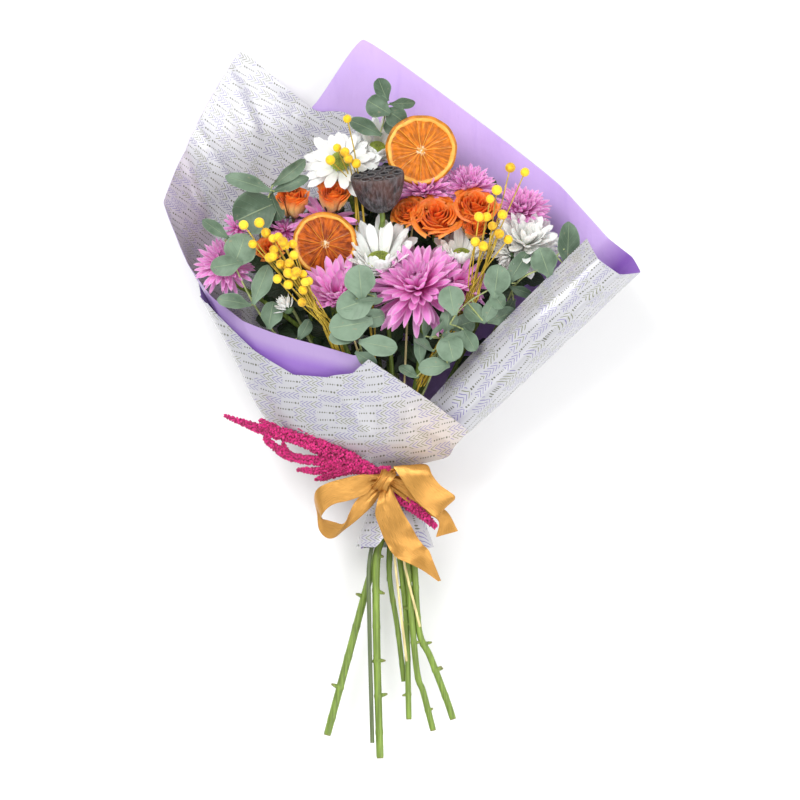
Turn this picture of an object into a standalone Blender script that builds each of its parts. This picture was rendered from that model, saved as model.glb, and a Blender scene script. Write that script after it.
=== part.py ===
"""A hand-tied flower bouquet in two sheets of wrapping paper, lying on its back.

The origin is under the middle of the whole bouquet. +Y runs from the cut stems to the
flowers, +Z points up and is the way that the flowers face. Sizes are in millimetres
here and become metres when a mesh is made.
"""
import math
import random

import bmesh
import bpy
from mathutils import Vector

MM = 0.001
GAP = 0.3
SEED = 41
# The middle of the whole bouquet in the frame of the sizes below, moved to the origin
ORIGIN = Vector((1.15, 0.7, 0.0))

# The tie: its middle, and the half axes of the ring that the two sheets follow round it
TIE = Vector((-4.0, -73.0, 40.0))
TIE_HALF = 13.0
TIE_RX = 17.0
TIE_RZ = 15.6
SKIRT_Y = -134.0
SKIRT_RX = 36.0
SKIRT_RZ = 24.0

# Wrapping paper: thickness of each sheet and how far its inner face lies outside the
# surface that both sheets follow
PAPER = 1.0
OUTER_SHEET_OFFSET = 1.2
INNER_SHEET_OFFSET = -2.2
LAP_RISE = 3.4

# Each spoke runs from the tie over a shoulder and a middle point to the far edge: angle
# round the tie, the three points, how far the outer sheet goes and how far the inner one
# goes, where 1 is the shoulder, 2 the middle and 3 the far edge
SPOKES = [
    (80, (22, -8, 78), (97, 73, 112), (167, 142, 124), 3.0, 0.0),
    (60, (38, -14, 92), (112, 66, 130), (176, 124, 144), 3.0, 0.0),
    (40, (54, -20, 90), (130, 56, 131), (193, 112, 146), 3.0, 0.0),
    (15, (64, -25, 66), (143, 49, 100), (213, 114, 118), 3.0, 0.0),
    (-15, (66, -20, 38), (142, 58, 64), (207, 128, 88), 3.0, 0.0),
    (-40, (60, -8, 16), (120, 75, 34), (186, 146, 64), 3.0, 0.0),
    (-60, (45, 10, 5), (90, 110, 10), (143, 194, 44), 3.0, 0.0),
    (-75, (25, 18, 1), (50, 130, 1), (77, 247, 34), 3.0, 0.0),
    (-90, (0, 20, 1), (-15, 140, 1), (-33, 325, 42), 3.0, 2.5),
    (-102, (-30, 18, 1), (-55, 135, 1), (-80, 265, 28), 3.0, 3.0),
    (-116, (-55, 10, 3), (-90, 120, 6), (-144, 314, 52), 2.3, 3.0),
    (-132, (-80, 0, 8), (-125, 105, 18), (-183, 249, 64), 2.3, 3.0),
    (-150, (-100, -8, 18), (-154, 86, 36), (-213, 176, 84), 2.5, 3.0),
    (-168, (-112, -18, 34), (-152, 52, 58), (-192, 120, 88), 2.95, 3.0),
    (-186, (-110, -24, 58), (-139, 26, 78), (-172, 93, 99), 2.9, 3.0),
    (-204, (-92, -27, 74), (-115, 20, 93), (-142, 70, 106), 2.5, 3.0),
    (-220, (-70, -29, 82), (-88, 11, 100), (-110, 58, 111), 2.3, 3.0),
    (-236, (-45, -31, 86), (-60, 7, 104), (-70, 47, 114), 2.38, 3.0),
    (-250, (-20, -33, 88), (-35, 2, 106), (-43, 39, 116), 2.62, 3.0),
    (-262, (4, -37, 88), (-6, -6, 106), (-28, 37, 116), 3.0, 0.0),
    (-272, (25, -43, 84), (12, -18, 102), (27, 0, 108), 3.0, 0.0),
    (-284, (42, -47, 79), (50, -38, 92), (62, -26, 99), 3.0, 0.0),
]
OUTER_SPOKES = (0.0, 21.0)
INNER_SPOKES = (8.0, 18.0)
LAP_SPOKES = (12.0, 17.0)
# How strongly the shared surface is pulled round at the shoulder, middle and far edge
ROUND_PULLS = ((1, 0.5), (2, 0.4), (3, 0.15))
SPOKE_PULL = 0.32
# Where each sheet is sampled from the skirt past the tie to the middle point
SPOKE_STOPS = (-2.0, -1.45, -1.0, 0.0, 0.5, 1.0, 1.5, 2.0)
# Both sheets are sampled on the same spokes, closer together where the paper turns
WRAP_STOPS = [0, 0.5, 1, 1.5, 2, 2.5, 3, 3.5, 4, 5, 6, 7, 8, 9, 10, 11, 12, 12.5, 13, 13.5,
              14, 14.5, 15, 16, 17, 18, 19, 20, 21]

# Flower heads: centre, radius and the way each one faces
PINK_HEADS = {
    "pink_bloom_1": ((19, 103, 118), 40, (0.0, -0.1, 1)),
    "pink_bloom_2": ((56, 107, 82), 25, (0.3, -0.1, 1)),
    "pink_bloom_3": ((-63, 105, 100), 32, (-0.2, -0.15, 1)),
    "pink_bloom_4": ((-163, 127, 84), 25, (-0.3, 0.0, 1)),
    "pink_bloom_5": ((-73, 168, 64), 27, (-0.1, 0.2, 1)),
    "pink_bloom_6": ((23, 193, 65), 27, (0.0, 0.2, 1)),
    "pink_bloom_7": ((68, 196, 66), 25, (0.1, 0.3, 1)),
    "pink_bloom_8": ((112, 178, 72), 28, (0.2, 0.2, 1)),
    "pink_bloom_9": ((-105, 158, 64), 20, (-0.2, 0.1, 1)),
}
WHITE_HEADS = {
    "white_bloom_1": ((-54, 217, 84), 32, (-0.1, 0.2, 1)),
    "white_bloom_2": ((-20, 236, 70), 25, (0.0, 0.3, 1)),
    "white_bloom_3": ((-16, 132, 98), 27, (0.0, 0.1, 1)),
    "white_bloom_4": ((54, 131, 90), 24, (0.1, 0.1, 1)),
    "white_bloom_5": ((109, 147, 94), 34, (0.15, 0.1, 1)),
}
ROSE_HEADS = {
    "rose_1": ((-96, 180, 94), 15.5, (-0.15, 0.3, 1)),
    "rose_2": ((-60, 184, 99), 16, (0.0, 0.35, 1)),
    "rose_3": ((34, 168, 106), 22, (0.0, 0.3, 1)),
    "rose_4": ((3, 172, 98), 13.5, (-0.2, 0.3, 1)),
    "rose_5": ((70, 177, 100), 18, (0.2, 0.3, 1)),
    "rose_6": ((66, 153, 112), 12, (0.2, -0.1, 1)),
    "rose_7": ((-117, 138, 92), 12, (-0.2, 0.0, 1)),
}
SLICES = {
    "orange_slice_1": ((19, 223, 93), 32, (0.0, -0.25, 1)),
    "orange_slice_2": ((-66, 144, 104), 29.0, (-0.05, -0.25, 1)),
}
SLICE_THICK = 5.0
MEMBRANE_HEIGHT = 0.7
FLESH_HEIGHT = 0.35

# Layers of petals from the outside in: how many, their rise in degrees, and their reach
# as a share of the head's radius
LARGE_PINK_RINGS = [(10, -2, 1.0), (8, 20, 0.92), (6, 42, 0.76), (3, 66, 0.6)]
SMALL_PINK_RINGS = [(8, 0, 1.0), (6, 26, 0.88), (3, 56, 0.66)]
WHITE_RINGS = [(8, -3, 1.0), (5, 14, 0.86)]
LARGE_PINK_RADIUS = 35.0
UPRIGHT_WHITE_HEAD = "white_bloom_3"
UPRIGHT_RISE = 30
PINK_PETAL_WIDTH = 0.24
LARGE_PINK_PETAL_WIDTH = 0.2
WHITE_PETAL_WIDTH = 0.3
PINK_PETAL_DEPTH = 1.3
WHITE_PETAL_DEPTH = 1.2
PETAL_TIP_WIDTH = 0.4
PETAL_ROOT = 0.45
PETAL_BEND = 0.55

# Middles of the heads, as shares of their radius
PINK_CORE = 0.34
PINK_CORE_SQUASH = 0.75
WHITE_CORE = 0.32
WHITE_CORE_HEIGHT = 0.1
DISC_RADIUS = 0.24
DISC_RINGS = [(0.85, 0.0), (1.0, 0.3), (0.75, 0.65), (0.3, 0.85)]

# A rose: its bud, and the two cups of petals as shares of its radius
ROSE_BUD_DROP = 0.1
ROSE_BUD_RADIUS = 0.42
ROSE_BUD_SQUASH = 1.7
ROSE_WALL = 0.1
ROSE_CUPS = [(10, [(0.42, -0.62), (0.86, -0.2), (0.92, 0.35)], 0.1),
             (8, [(0.34, -0.5), (0.6, -0.1), (0.6, 0.6)], 0.08)]

# The space that a head keeps for itself below and above its centre, in radii, the least
# share of a petal that is kept, and how far petals stay from a stem
HEAD_LOW = 0.2
HEAD_HIGH = 0.6
ROSE_LOW = 0.9
ROSE_HIGH = 0.95
POD_SPACE = (0.85, 0.6, 0.5)
LEAST_PETAL = 0.45
STEM_CLEARANCE = 2.0
STEM_SAMPLE = 3.0

# Dried lotus pod: middle of its flat top, the way that the top faces, and its size
POD_TOP = Vector((-20, 201, 113))
POD_AXIS = Vector((0.0, 0.95, 0.3)).normalized()
POD_RADIUS = 24.0
POD_LENGTH = 36.0
POD_SIDES = 12
POD_RIDGE = 0.03
POD_PROFILE = [(0.12, -1.0), (0.3, -0.86), (0.55, -0.6), (0.8, -0.36), (0.95, -0.2),
               (1.0, -0.08), (0.97, 0.0), (0.88, 0.02), (0.84, -0.03)]
PIT_RINGS = [(0.0, 1), (0.575, 8)]
PIT_RADII = (2.2, 2.8)
PIT_DEPTH = 4.0

STEM_SIDES = 5
NODE_SWELLING = 1.16
UNDER_HEAD = 14.0
STICK_RADIUS = 1.0
STRAW_RADIUS = 1.2
POD_STEM_RADIUS = 2.5

COLOURS = {
    "paper_outer": ((0.80, 0.72, 0.92), 0.35),
    "paper_inner": ((0.88, 0.88, 0.92), 0.35),
    "satin": ((0.60, 0.30, 0.06), 0.4),
    "pink": ((0.75, 0.22, 0.58), 0.6),
    "white": ((0.94, 0.93, 0.90), 0.6),
    "lime": ((0.30, 0.38, 0.02), 0.7),
    "orange_petal": ((0.85, 0.12, 0.02), 0.55),
    "dried_orange": ((0.62, 0.18, 0.02), 0.45),
    "pod_brown": ((0.06, 0.05, 0.05), 0.8),
    "eucalyptus": ((0.20, 0.33, 0.22), 0.6),
    "yellow": ((0.90, 0.65, 0.01), 0.7),
    "magenta": ((0.55, 0.01, 0.12), 0.8),
    "stem_green": ((0.13, 0.30, 0.05), 0.5),
    "straw": ((0.70, 0.60, 0.28), 0.7),
}


def clear_scene():
    """Remove every object that the scene starts with."""
    for thing in list(bpy.data.objects):
        bpy.data.objects.remove(thing, do_unlink=True)


def material(name):
    """The material of that name, made the first time that it is asked for."""
    made = bpy.data.materials.get(name)
    if made is None:
        colour, roughness = COLOURS[name]
        made = bpy.data.materials.new(name)
        made.use_nodes = True
        shader = made.node_tree.nodes["Principled BSDF"]
        shader.inputs["Base Color"].default_value = (*colour, 1.0)
        shader.inputs["Roughness"].default_value = roughness
        shader.inputs["Metallic"].default_value = 0.0
    return made


def solid(name, verts, faces):
    """A mesh object from corners in millimetres."""
    mesh = bpy.data.meshes.new(name)
    mesh.from_pydata([(Vector(v) - ORIGIN) * MM for v in verts], [], faces)
    mesh.update()
    made = bpy.data.objects.new(name, mesh)
    bpy.context.scene.collection.objects.link(made)
    return made


def spline(points, t, pull=0.5):
    """Point on a smooth curve through the points, t from 0 to the last one's number."""
    last = len(points) - 1
    i = min(int(t), last - 1)
    f = t - i
    p1 = points[i]
    p2 = points[i + 1]
    before = points[i - 1] if i > 0 else p1 + (p1 - p2)
    after = points[i + 2] if i + 2 <= last else p2 + (p2 - p1)
    m1 = (p2 - before) * pull
    m2 = (after - p1) * pull
    f2 = f * f
    f3 = f2 * f
    return (p1 * (2 * f3 - 3 * f2 + 1) + m1 * (f3 - 2 * f2 + f)
            + p2 * (3 * f2 - 2 * f3) + m2 * (f3 - f2))


def curve(points, step):
    """A smooth curve through hand-chosen points, with a point about every step."""
    points = [Vector(p) for p in points]
    made = []
    for i in range(len(points) - 1):
        count = max(1, round((points[i + 1] - points[i]).length / step))
        made += [spline(points, i + k / count) for k in range(count)]
    made.append(points[-1])
    return made


def frame_along(points):
    """Side directions for each point of a line, turned as little as possible."""
    sides = []
    side = None
    for i, point in enumerate(points):
        ahead = points[min(i + 1, len(points) - 1)] - points[max(i - 1, 0)]
        ahead.normalize()
        if side is None:
            side = ahead.orthogonal().normalized()
        side = (side - ahead * side.dot(ahead)).normalized()
        sides.append((side.copy(), ahead.cross(side)))
    return sides


def tube(name, points, radii, sides=STEM_SIDES):
    """A closed tube along a line of points, with one radius for each point."""
    verts = []
    for point, radius, (a, b) in zip(points, radii, frame_along(points)):
        for k in range(sides):
            turn = math.tau * k / sides
            verts.append(point + (a * math.cos(turn) + b * math.sin(turn)) * radius)
    faces = []
    for i in range(len(points) - 1):
        for k in range(sides):
            j = (k + 1) % sides
            low = i * sides
            high = low + sides
            faces.append((low + k, low + j, high + j, high + k))
    faces.append(tuple(reversed(range(sides))))
    faces.append(tuple(range(len(verts) - sides, len(verts))))
    return solid(name, verts, faces)


def thick_grid(name, points, normals, below, above):
    """A thin closed shell over a grid of points, split alike on both of its faces."""
    rows = len(points)
    columns = len(points[0])
    top = [p + n * above for row, side in zip(points, normals) for p, n in zip(row, side)]
    low = [p - n * below for row, side in zip(points, normals) for p, n in zip(row, side)]
    shift = rows * columns
    faces = []
    for i in range(rows - 1):
        for j in range(columns - 1):
            a = i * columns + j
            b = a + 1
            c = a + columns + 1
            d = a + columns
            faces += [(a, b, c), (a, c, d)]
            faces += [(c + shift, b + shift, a + shift), (d + shift, c + shift, a + shift)]
    rim = [j for j in range(columns)]
    rim += [i * columns + columns - 1 for i in range(1, rows)]
    rim += [(rows - 1) * columns + j for j in range(columns - 2, -1, -1)]
    rim += [i * columns for i in range(rows - 2, 0, -1)]
    for k, a in enumerate(rim):
        b = rim[(k + 1) % len(rim)]
        faces += [(b, a, a + shift), (b, a + shift, b + shift)]
    return solid(name, top + low, faces)


def blade(name, points, widths, across, thick):
    """A thin strip: a line of points, with a width and a width direction at each."""
    grid = []
    normals = []
    for i, point in enumerate(points):
        ahead = points[min(i + 1, len(points) - 1)] - points[max(i - 1, 0)]
        side = across[i].normalized()
        up = side.cross(ahead).normalized()
        half = side * (widths[i] / 2)
        grid.append([point - half, point + half])
        normals.append([up, up])
    return thick_grid(name, grid, normals, thick / 2, thick / 2)


def keeled_blade(name, points, widths, across, depth):
    """A petal or leaf with a flat upper face and a keel under its middle."""
    verts = []
    for i, point in enumerate(points):
        ahead = points[min(i + 1, len(points) - 1)] - points[max(i - 1, 0)]
        up = across.cross(ahead).normalized()
        half = across * (widths[i] / 2)
        verts += [point + half, point - up * depth, point - half]
    faces = []
    for i in range(len(points) - 1):
        for k in range(3):
            j = (k + 1) % 3
            low = 3 * i
            high = low + 3
            faces += [(low + k, low + j, high + j), (low + k, high + j, high + k)]
    faces.append((2, 1, 0))
    faces.append((len(verts) - 3, len(verts) - 2, len(verts) - 1))
    return solid(name, verts, faces)


def ball(name, centre, radius, segments, rings, squash=1.0, turn=None):
    """A closed round lump with its poles on the turned Z axis."""
    verts = [Vector((0, 0, -radius * squash))]
    for i in range(1, rings):
        up = math.pi * i / rings - math.pi / 2
        for k in range(segments):
            at = math.tau * k / segments
            ring = radius * math.cos(up)
            verts.append(Vector((ring * math.cos(at), ring * math.sin(at),
                                 radius * squash * math.sin(up))))
    verts.append(Vector((0, 0, radius * squash)))
    faces = []
    for k in range(segments):
        j = (k + 1) % segments
        faces.append((0, 1 + j, 1 + k))
        last = 1 + (rings - 2) * segments
        faces.append((last + k, last + j, len(verts) - 1))
        for i in range(rings - 2):
            low = 1 + i * segments
            high = low + segments
            faces.append((low + k, low + j, high + j, high + k))
    if turn is not None:
        verts = [turn @ v for v in verts]
    return solid(name, [v + Vector(centre) for v in verts], faces)


def keep_outer_shell(made):
    """Drop sealed hollows and scraps: only the largest closed shell stays."""
    shape = bmesh.new()
    shape.from_mesh(made.data)
    bmesh.ops.triangulate(shape, faces=shape.faces[:])
    shells = []
    waiting = set(shape.faces)
    while waiting:
        start = waiting.pop()
        shell = [start]
        front = [start]
        while front:
            face = front.pop()
            for edge in face.edges:
                for other in edge.link_faces:
                    if other in waiting:
                        waiting.remove(other)
                        shell.append(other)
                        front.append(other)
        shells.append(shell)
    shells.sort(key=len)
    loose = [face for shell in shells[:-1] for face in shell]
    if loose:
        bmesh.ops.delete(shape, geom=loose, context="FACES")
    shape.to_mesh(made.data)
    shape.free()


def join_all(base, parts, operation="UNION"):
    """Join parts to a base solid, or cut them from it, with one Boolean."""
    group = bpy.data.collections.new("parts_to_join")
    bpy.context.scene.collection.children.link(group)
    for part in parts:
        bpy.context.scene.collection.objects.unlink(part)
        group.objects.link(part)
    boolean = base.modifiers.new("join", "BOOLEAN")
    boolean.operation = operation
    boolean.operand_type = "COLLECTION"
    boolean.collection = group
    boolean.solver = "MANIFOLD"
    bpy.context.view_layer.objects.active = base
    bpy.ops.object.modifier_apply(modifier="join")
    for part in parts:
        bpy.data.objects.remove(part, do_unlink=True)
    bpy.data.collections.remove(group)
    return base


def finish(name, base, parts, finish_name, smooth=35):
    """Join the parts to the base, name the result and give it its material."""
    if parts:
        join_all(base, parts)
        keep_outer_shell(base)
    base.name = name
    base.data.name = name
    base.data.materials.clear()
    base.data.materials.append(material(finish_name))
    for face in base.data.polygons:
        face.material_index = 0
    base.data.shade_smooth()
    base.data.set_sharp_from_angle(angle=math.radians(smooth))
    return base


def facing_turn(facing):
    """The turn that takes +Z to the way a head faces."""
    return Vector(facing).normalized().to_track_quat("Z", "Y").to_matrix()


class Head:
    """A flower head's place: a flat round space that other heads' petals keep out of."""

    def __init__(self, centre, radius, facing, low, high, rank):
        self.centre = Vector(centre)
        self.radius = radius
        self.turn = facing_turn(facing)
        self.axis = self.turn @ Vector((0, 0, 1))
        self.low = low
        self.high = high
        self.rank = rank

    def holds(self, point, margin):
        """Whether a point is inside the space, or within the margin of it."""
        offset = point - self.centre
        along = offset.dot(self.axis)
        if not self.low - margin < along < self.high + margin:
            return False
        return (offset - self.axis * along).length < self.radius + margin

    def at(self, x, y, z):
        """A point of the head's own frame, in the bouquet's."""
        return self.centre + self.turn @ Vector((x, y, z))


HEADS = {}
RODS = []


def set_out_heads():
    """Give every head, slice and the pod its space. A low rank keeps its petals whole."""
    order = ["pink_bloom_1", "white_bloom_5", "pink_bloom_3", "white_bloom_3",
             "white_bloom_1", "pink_bloom_4", "pink_bloom_8", "pink_bloom_6",
             "white_bloom_4", "pink_bloom_5", "pink_bloom_7", "pink_bloom_2",
             "pink_bloom_9", "white_bloom_2"]
    for name, (centre, radius, facing) in ROSE_HEADS.items():
        HEADS[name] = Head(centre, radius, facing, -ROSE_LOW * radius, ROSE_HIGH * radius, 0)
    for name, (centre, radius, facing) in SLICES.items():
        HEADS[name] = Head(centre, radius, facing, -SLICE_THICK / 2, SLICE_THICK / 2, 0)
    middle = POD_TOP - POD_AXIS * (0.4 * POD_LENGTH)
    wide, low, high = POD_SPACE
    HEADS["lotus_pod"] = Head(middle, wide * POD_RADIUS, POD_AXIS,
                              -low * POD_LENGTH, high * POD_LENGTH, 0)
    petalled = {**PINK_HEADS, **WHITE_HEADS}
    for rank, name in enumerate(order, 1):
        centre, radius, facing = petalled[name]
        HEADS[name] = Head(centre, radius, facing, -HEAD_LOW * radius, HEAD_HIGH * radius, rank)


def is_clear(point, owner, margin=1.0):
    """Whether a petal of the owner may pass through this point."""
    rank = HEADS[owner].rank
    for name, head in HEADS.items():
        if name != owner and head.rank < rank and head.holds(point, margin):
            return False
    for middle, radius in RODS:
        if (middle - point).length < radius + STEM_CLEARANCE:
            return False
    return True


def clear_share(points, across, half, owner):
    """How much of a petal's length stays clear of everything with a lower rank."""
    checks = 16
    last = len(points) - 1
    for k in range(4, checks + 1):
        point = spline(points, last * k / checks)
        for side in (-0.9, 0.0, 0.9):
            if not is_clear(point + across * (side * half), owner):
                return (k - 1) / checks
    return 1.0


def petal_rings(name, head, rings, width, depth, core, lift, draw):
    """The petals of a layered head, each cut short where it would cross a neighbour.

    Each petal leaves the core, rises, bends by the lift and ends in a narrow tip.
    """
    petals = []
    for level, (count, rise, reach) in enumerate(rings):
        for k in range(count):
            turn = math.tau * (k + 0.5 * (level % 2)) / count + draw.uniform(-0.1, 0.1)
            angle = math.radians(rise + draw.uniform(-4, 4))
            length = head.radius * reach * draw.uniform(0.9, 1.0)
            out = Vector((math.cos(turn), math.sin(turn), 0))
            root = out * (PETAL_ROOT * core)
            bend = angle + math.radians(lift)
            run = length - PETAL_ROOT * core
            first = out * math.cos(angle) + Vector((0, 0, math.sin(angle)))
            second = out * math.cos(bend) + Vector((0, 0, math.sin(bend)))
            middle = root + first * (PETAL_BEND * run)
            tip = middle + second * ((1 - PETAL_BEND) * run)
            points = [head.centre + head.turn @ p for p in (root, middle, tip)]
            across = head.turn @ Vector((-math.sin(turn), math.cos(turn), 0))
            share = clear_share(points, across, width / 2, name)
            if share < LEAST_PETAL:
                continue
            if share < 1.0:
                points = [points[0], spline(points, 1.2 * share), spline(points, 2 * share)]
            widths = [PETAL_TIP_WIDTH * width, width, PETAL_TIP_WIDTH * width]
            petals.append(keeled_blade(name, points, widths, across, depth))
    return petals


def pink_head(name):
    """A spray chrysanthemum: narrow petals in layers round a small dome."""
    head = HEADS[name]
    draw = random.Random(SEED + len(name) + int(name[-1]))
    core = PINK_CORE * head.radius
    base = ball(name, head.centre, core, 7, 4, PINK_CORE_SQUASH, head.turn)
    rings, width = SMALL_PINK_RINGS, PINK_PETAL_WIDTH * head.radius
    if head.radius > LARGE_PINK_RADIUS:
        rings, width = LARGE_PINK_RINGS, LARGE_PINK_PETAL_WIDTH * head.radius
    petals = petal_rings(name, head, rings, width, PINK_PETAL_DEPTH, core, 8, draw)
    return finish(name, base, petals, "pink")


def white_head(name):
    """A daisy chrysanthemum: two layers of broad petals round a low disc."""
    head = HEADS[name]
    draw = random.Random(SEED + 7 * int(name[-1]))
    core = WHITE_CORE * head.radius
    height = WHITE_CORE_HEIGHT * head.radius
    points = [head.at(0, 0, -height), head.at(0, 0, height)]
    base = tube(name, points, [core, core], 9)
    lift = UPRIGHT_RISE if name == UPRIGHT_WHITE_HEAD else 0
    rings = [(count, rise + lift, reach) for count, rise, reach in WHITE_RINGS]
    petals = petal_rings(name, head, rings, WHITE_PETAL_WIDTH * head.radius,
                         WHITE_PETAL_DEPTH, 1.55 * core, 5, draw)
    return finish(name, base, petals, "white")


def flower_disc(name, owner):
    """The lime-green dome of tiny florets in the middle of a daisy head."""
    head = HEADS[owner]
    radius = DISC_RADIUS * head.radius
    base_z = WHITE_CORE_HEIGHT * head.radius + GAP
    sides = 6
    verts = []
    for level, (share, up) in enumerate(DISC_RINGS):
        for k in range(sides):
            turn = math.tau * (k + 0.5 * (level % 2)) / sides
            bump = 1.0 + 0.1 * (k % 2)
            verts.append(head.at(radius * share * bump * math.cos(turn),
                                 radius * share * bump * math.sin(turn),
                                 base_z + radius * up))
    faces = []
    for i in range(len(DISC_RINGS) - 1):
        for k in range(sides):
            j = (k + 1) % sides
            low = i * sides
            high = low + sides
            faces.append((low + k, low + j, high + j, high + k))
    faces.append(tuple(reversed(range(sides))))
    faces.append(tuple(range(len(verts) - sides, len(verts))))
    return finish(name, solid(name, verts, faces), [], "lime")


def petal_cup(head, sides, rows, lobe, start):
    """A layer of a rose's petals: a cup whose wavy rim shows where petals meet."""
    verts = []
    size = head.radius
    there_and_back = rows + [(r - ROSE_WALL, z) for r, z in reversed(rows)]
    for level, (share, up) in enumerate(there_and_back):
        at_rim = level in (len(rows) - 1, len(rows))
        for k in range(sides):
            turn = start + math.tau * k / sides
            ripple = lobe * (1.0 if at_rim else 0.4) * (1 if k % 2 else -1)
            reach = size * share * (1.0 + ripple)
            verts.append(head.at(reach * math.cos(turn), reach * math.sin(turn),
                                 size * (up + 0.6 * ripple)))
    faces = []
    levels = len(there_and_back)
    for i in range(levels):
        for k in range(sides):
            j = (k + 1) % sides
            low = i * sides
            high = ((i + 1) % levels) * sides
            faces += [(low + k, low + j, high + j), (low + k, high + j, high + k)]
    return solid("cup", verts, faces)


def rose_head(name):
    """A spray rose: two cups of petals round a closed bud."""
    head = HEADS[name]
    draw = random.Random(SEED + 13 * int(name[-1]))
    base = ball(name, head.at(0, 0, -ROSE_BUD_DROP * head.radius),
                ROSE_BUD_RADIUS * head.radius, 6, 5, ROSE_BUD_SQUASH, head.turn)
    cups = [petal_cup(head, sides, rows, lobe, draw.uniform(0, 1))
            for sides, rows, lobe in ROSE_CUPS]
    return finish(name, base, cups, "orange_petal")


def orange_slice(name):
    """A dried slice: raised rind and membranes, sunk segments of flesh."""
    head = HEADS[name]
    segments = 8
    around = 2 * segments
    rings = [(0.14, FLESH_HEIGHT), (0.8, FLESH_HEIGHT), (0.93, 1.0), (1.0, 0.55)]
    verts = []
    for side in (1, -1):
        verts.append(head.at(0, 0, side * SLICE_THICK / 2 * MEMBRANE_HEIGHT))
        for level, (share, height) in enumerate(rings):
            for k in range(around):
                turn = math.tau * k / around
                flesh = level < 2 and k % 2 == 1
                up = height
                if level < 2:
                    up = FLESH_HEIGHT if flesh else MEMBRANE_HEIGHT
                wave = 1.0 + 0.015 * math.sin(3 * turn)
                verts.append(head.at(head.radius * share * wave * math.cos(turn),
                                     head.radius * share * wave * math.sin(turn),
                                     side * SLICE_THICK / 2 * up))
    shift = 1 + len(rings) * around
    faces = []
    for k in range(around):
        j = (k + 1) % around
        faces.append((0, 1 + k, 1 + j))
        faces.append((shift, shift + 1 + j, shift + 1 + k))
        for i in range(len(rings) - 1):
            a = 1 + i * around + k
            b = 1 + i * around + j
            c = b + around
            d = a + around
            faces += [(a, d, c), (a, c, b)]
            faces += [(a + shift, c + shift, d + shift), (a + shift, b + shift, c + shift)]
        a = 1 + (len(rings) - 1) * around + k
        b = 1 + (len(rings) - 1) * around + j
        faces += [(a, a + shift, b + shift), (a, b + shift, b)]
    return finish(name, solid(name, verts, faces), [], "dried_orange")


def lotus_pod():
    """A dried lotus pod: a flaring cup with a rim and nine round pits in its flat top."""
    turn = facing_turn(POD_AXIS)
    sides = POD_SIDES
    verts = []
    for share, along in POD_PROFILE:
        for k in range(sides):
            at = math.tau * k / sides
            ridge = POD_RIDGE if k % 2 and along < -0.1 else 0.0
            reach = POD_RADIUS * share * (1.0 + ridge)
            verts.append(POD_TOP + turn @ Vector((reach * math.cos(at), reach * math.sin(at),
                                                  POD_LENGTH * along)))
    faces = []
    for i in range(len(POD_PROFILE) - 1):
        for k in range(sides):
            j = (k + 1) % sides
            low = i * sides
            high = low + sides
            faces.append((low + k, low + j, high + j, high + k))
    faces.append(tuple(reversed(range(sides))))
    faces.append(tuple(range(len(verts) - sides, len(verts))))
    pod = solid("lotus_pod", verts, faces)
    pits = []
    for ring, count in PIT_RINGS:
        for k in range(count):
            at = math.tau * k / count
            middle = POD_TOP + turn @ Vector((POD_RADIUS * ring * math.cos(at),
                                              POD_RADIUS * ring * math.sin(at), 0))
            ends = [middle - POD_AXIS * PIT_DEPTH, middle + POD_AXIS * PIT_DEPTH]
            pits.append(tube("pit", ends, PIT_RADII, 5))
    join_all(pod, pits, "DIFFERENCE")
    return finish("lotus_pod", pod, [], "pod_brown")


def tie_slot(dx, dz, y=None):
    """A stem's place among the others inside the tie."""
    return Vector((TIE.x + dx, TIE.y if y is None else y, TIE.z + dz))


def seat_below(owner, drop):
    """The point just under a head where its stem ends, and one lower down."""
    head = HEADS[owner]
    tip = head.centre - head.axis * drop
    return tip, tip - head.axis * UNDER_HEAD


def stem_tube(name, points, radius_low, radius_tie, radius_high, step=40.0):
    """A stem that is thicker below the tie, with a swelling every few centimetres."""
    line = curve(points, step)
    radii = []
    for i, point in enumerate(line):
        if point.y < TIE.y - 20:
            radius = radius_low * (NODE_SWELLING if i % 3 == 1 else 1.0)
        elif point.y < TIE.y + 20:
            radius = radius_tie
        else:
            radius = radius_high
        radii.append(radius)
    return line, radii, tube(name, line, radii)


def remember(line, radii):
    """Keep petals away from a stem."""
    for i in range(len(line) - 1):
        count = max(1, round((line[i + 1] - line[i]).length / STEM_SAMPLE))
        for k in range(count):
            RODS.append((line[i].lerp(line[i + 1], k / count), radii[i]))


STEMS = {}


def drop_of(owner):
    """How far below a head's centre its stem ends."""
    radius = HEADS[owner].radius
    if owner.startswith("pink"):
        return PINK_CORE * PINK_CORE_SQUASH * radius + GAP
    if owner.startswith("white"):
        return WHITE_CORE_HEIGHT * radius + GAP
    return (ROSE_BUD_DROP + ROSE_BUD_RADIUS * ROSE_BUD_SQUASH) * radius + GAP


def flower_stem(name, slot, ends, way, heads, radii, joint=None):
    """A branching stem from its cut end through the tie to each head that it carries."""
    dx, dz = slot
    radius_low, radius_tie, radius_high = radii
    first = heads[0]
    tip, under = seat_below(first[0], drop_of(first[0]))
    main = [Vector(p) for p in ends] + [tie_slot(dx, dz, TIE.y - 14), tie_slot(dx, dz, TIE.y + 14)]
    main += [Vector(p) for p in way] + [Vector(p) for p in first[1]] + [under, tip]
    line, sizes, base = stem_tube(name, main, radius_low, radius_tie, radius_high)
    remember(line[:-1], sizes)
    parts = []
    for owner, via in heads[1:]:
        tip, under = seat_below(owner, drop_of(owner))
        start = Vector(way[-1]) if joint is None else Vector(joint)
        branch = curve([start] + [Vector(p) for p in via] + [under, tip], 30.0)
        parts.append(tube(name, branch, [radius_high * 0.9] * len(branch), 4))
        remember(branch[:-1], [radius_high] * len(branch))
    STEMS[name] = (base, parts)


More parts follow.
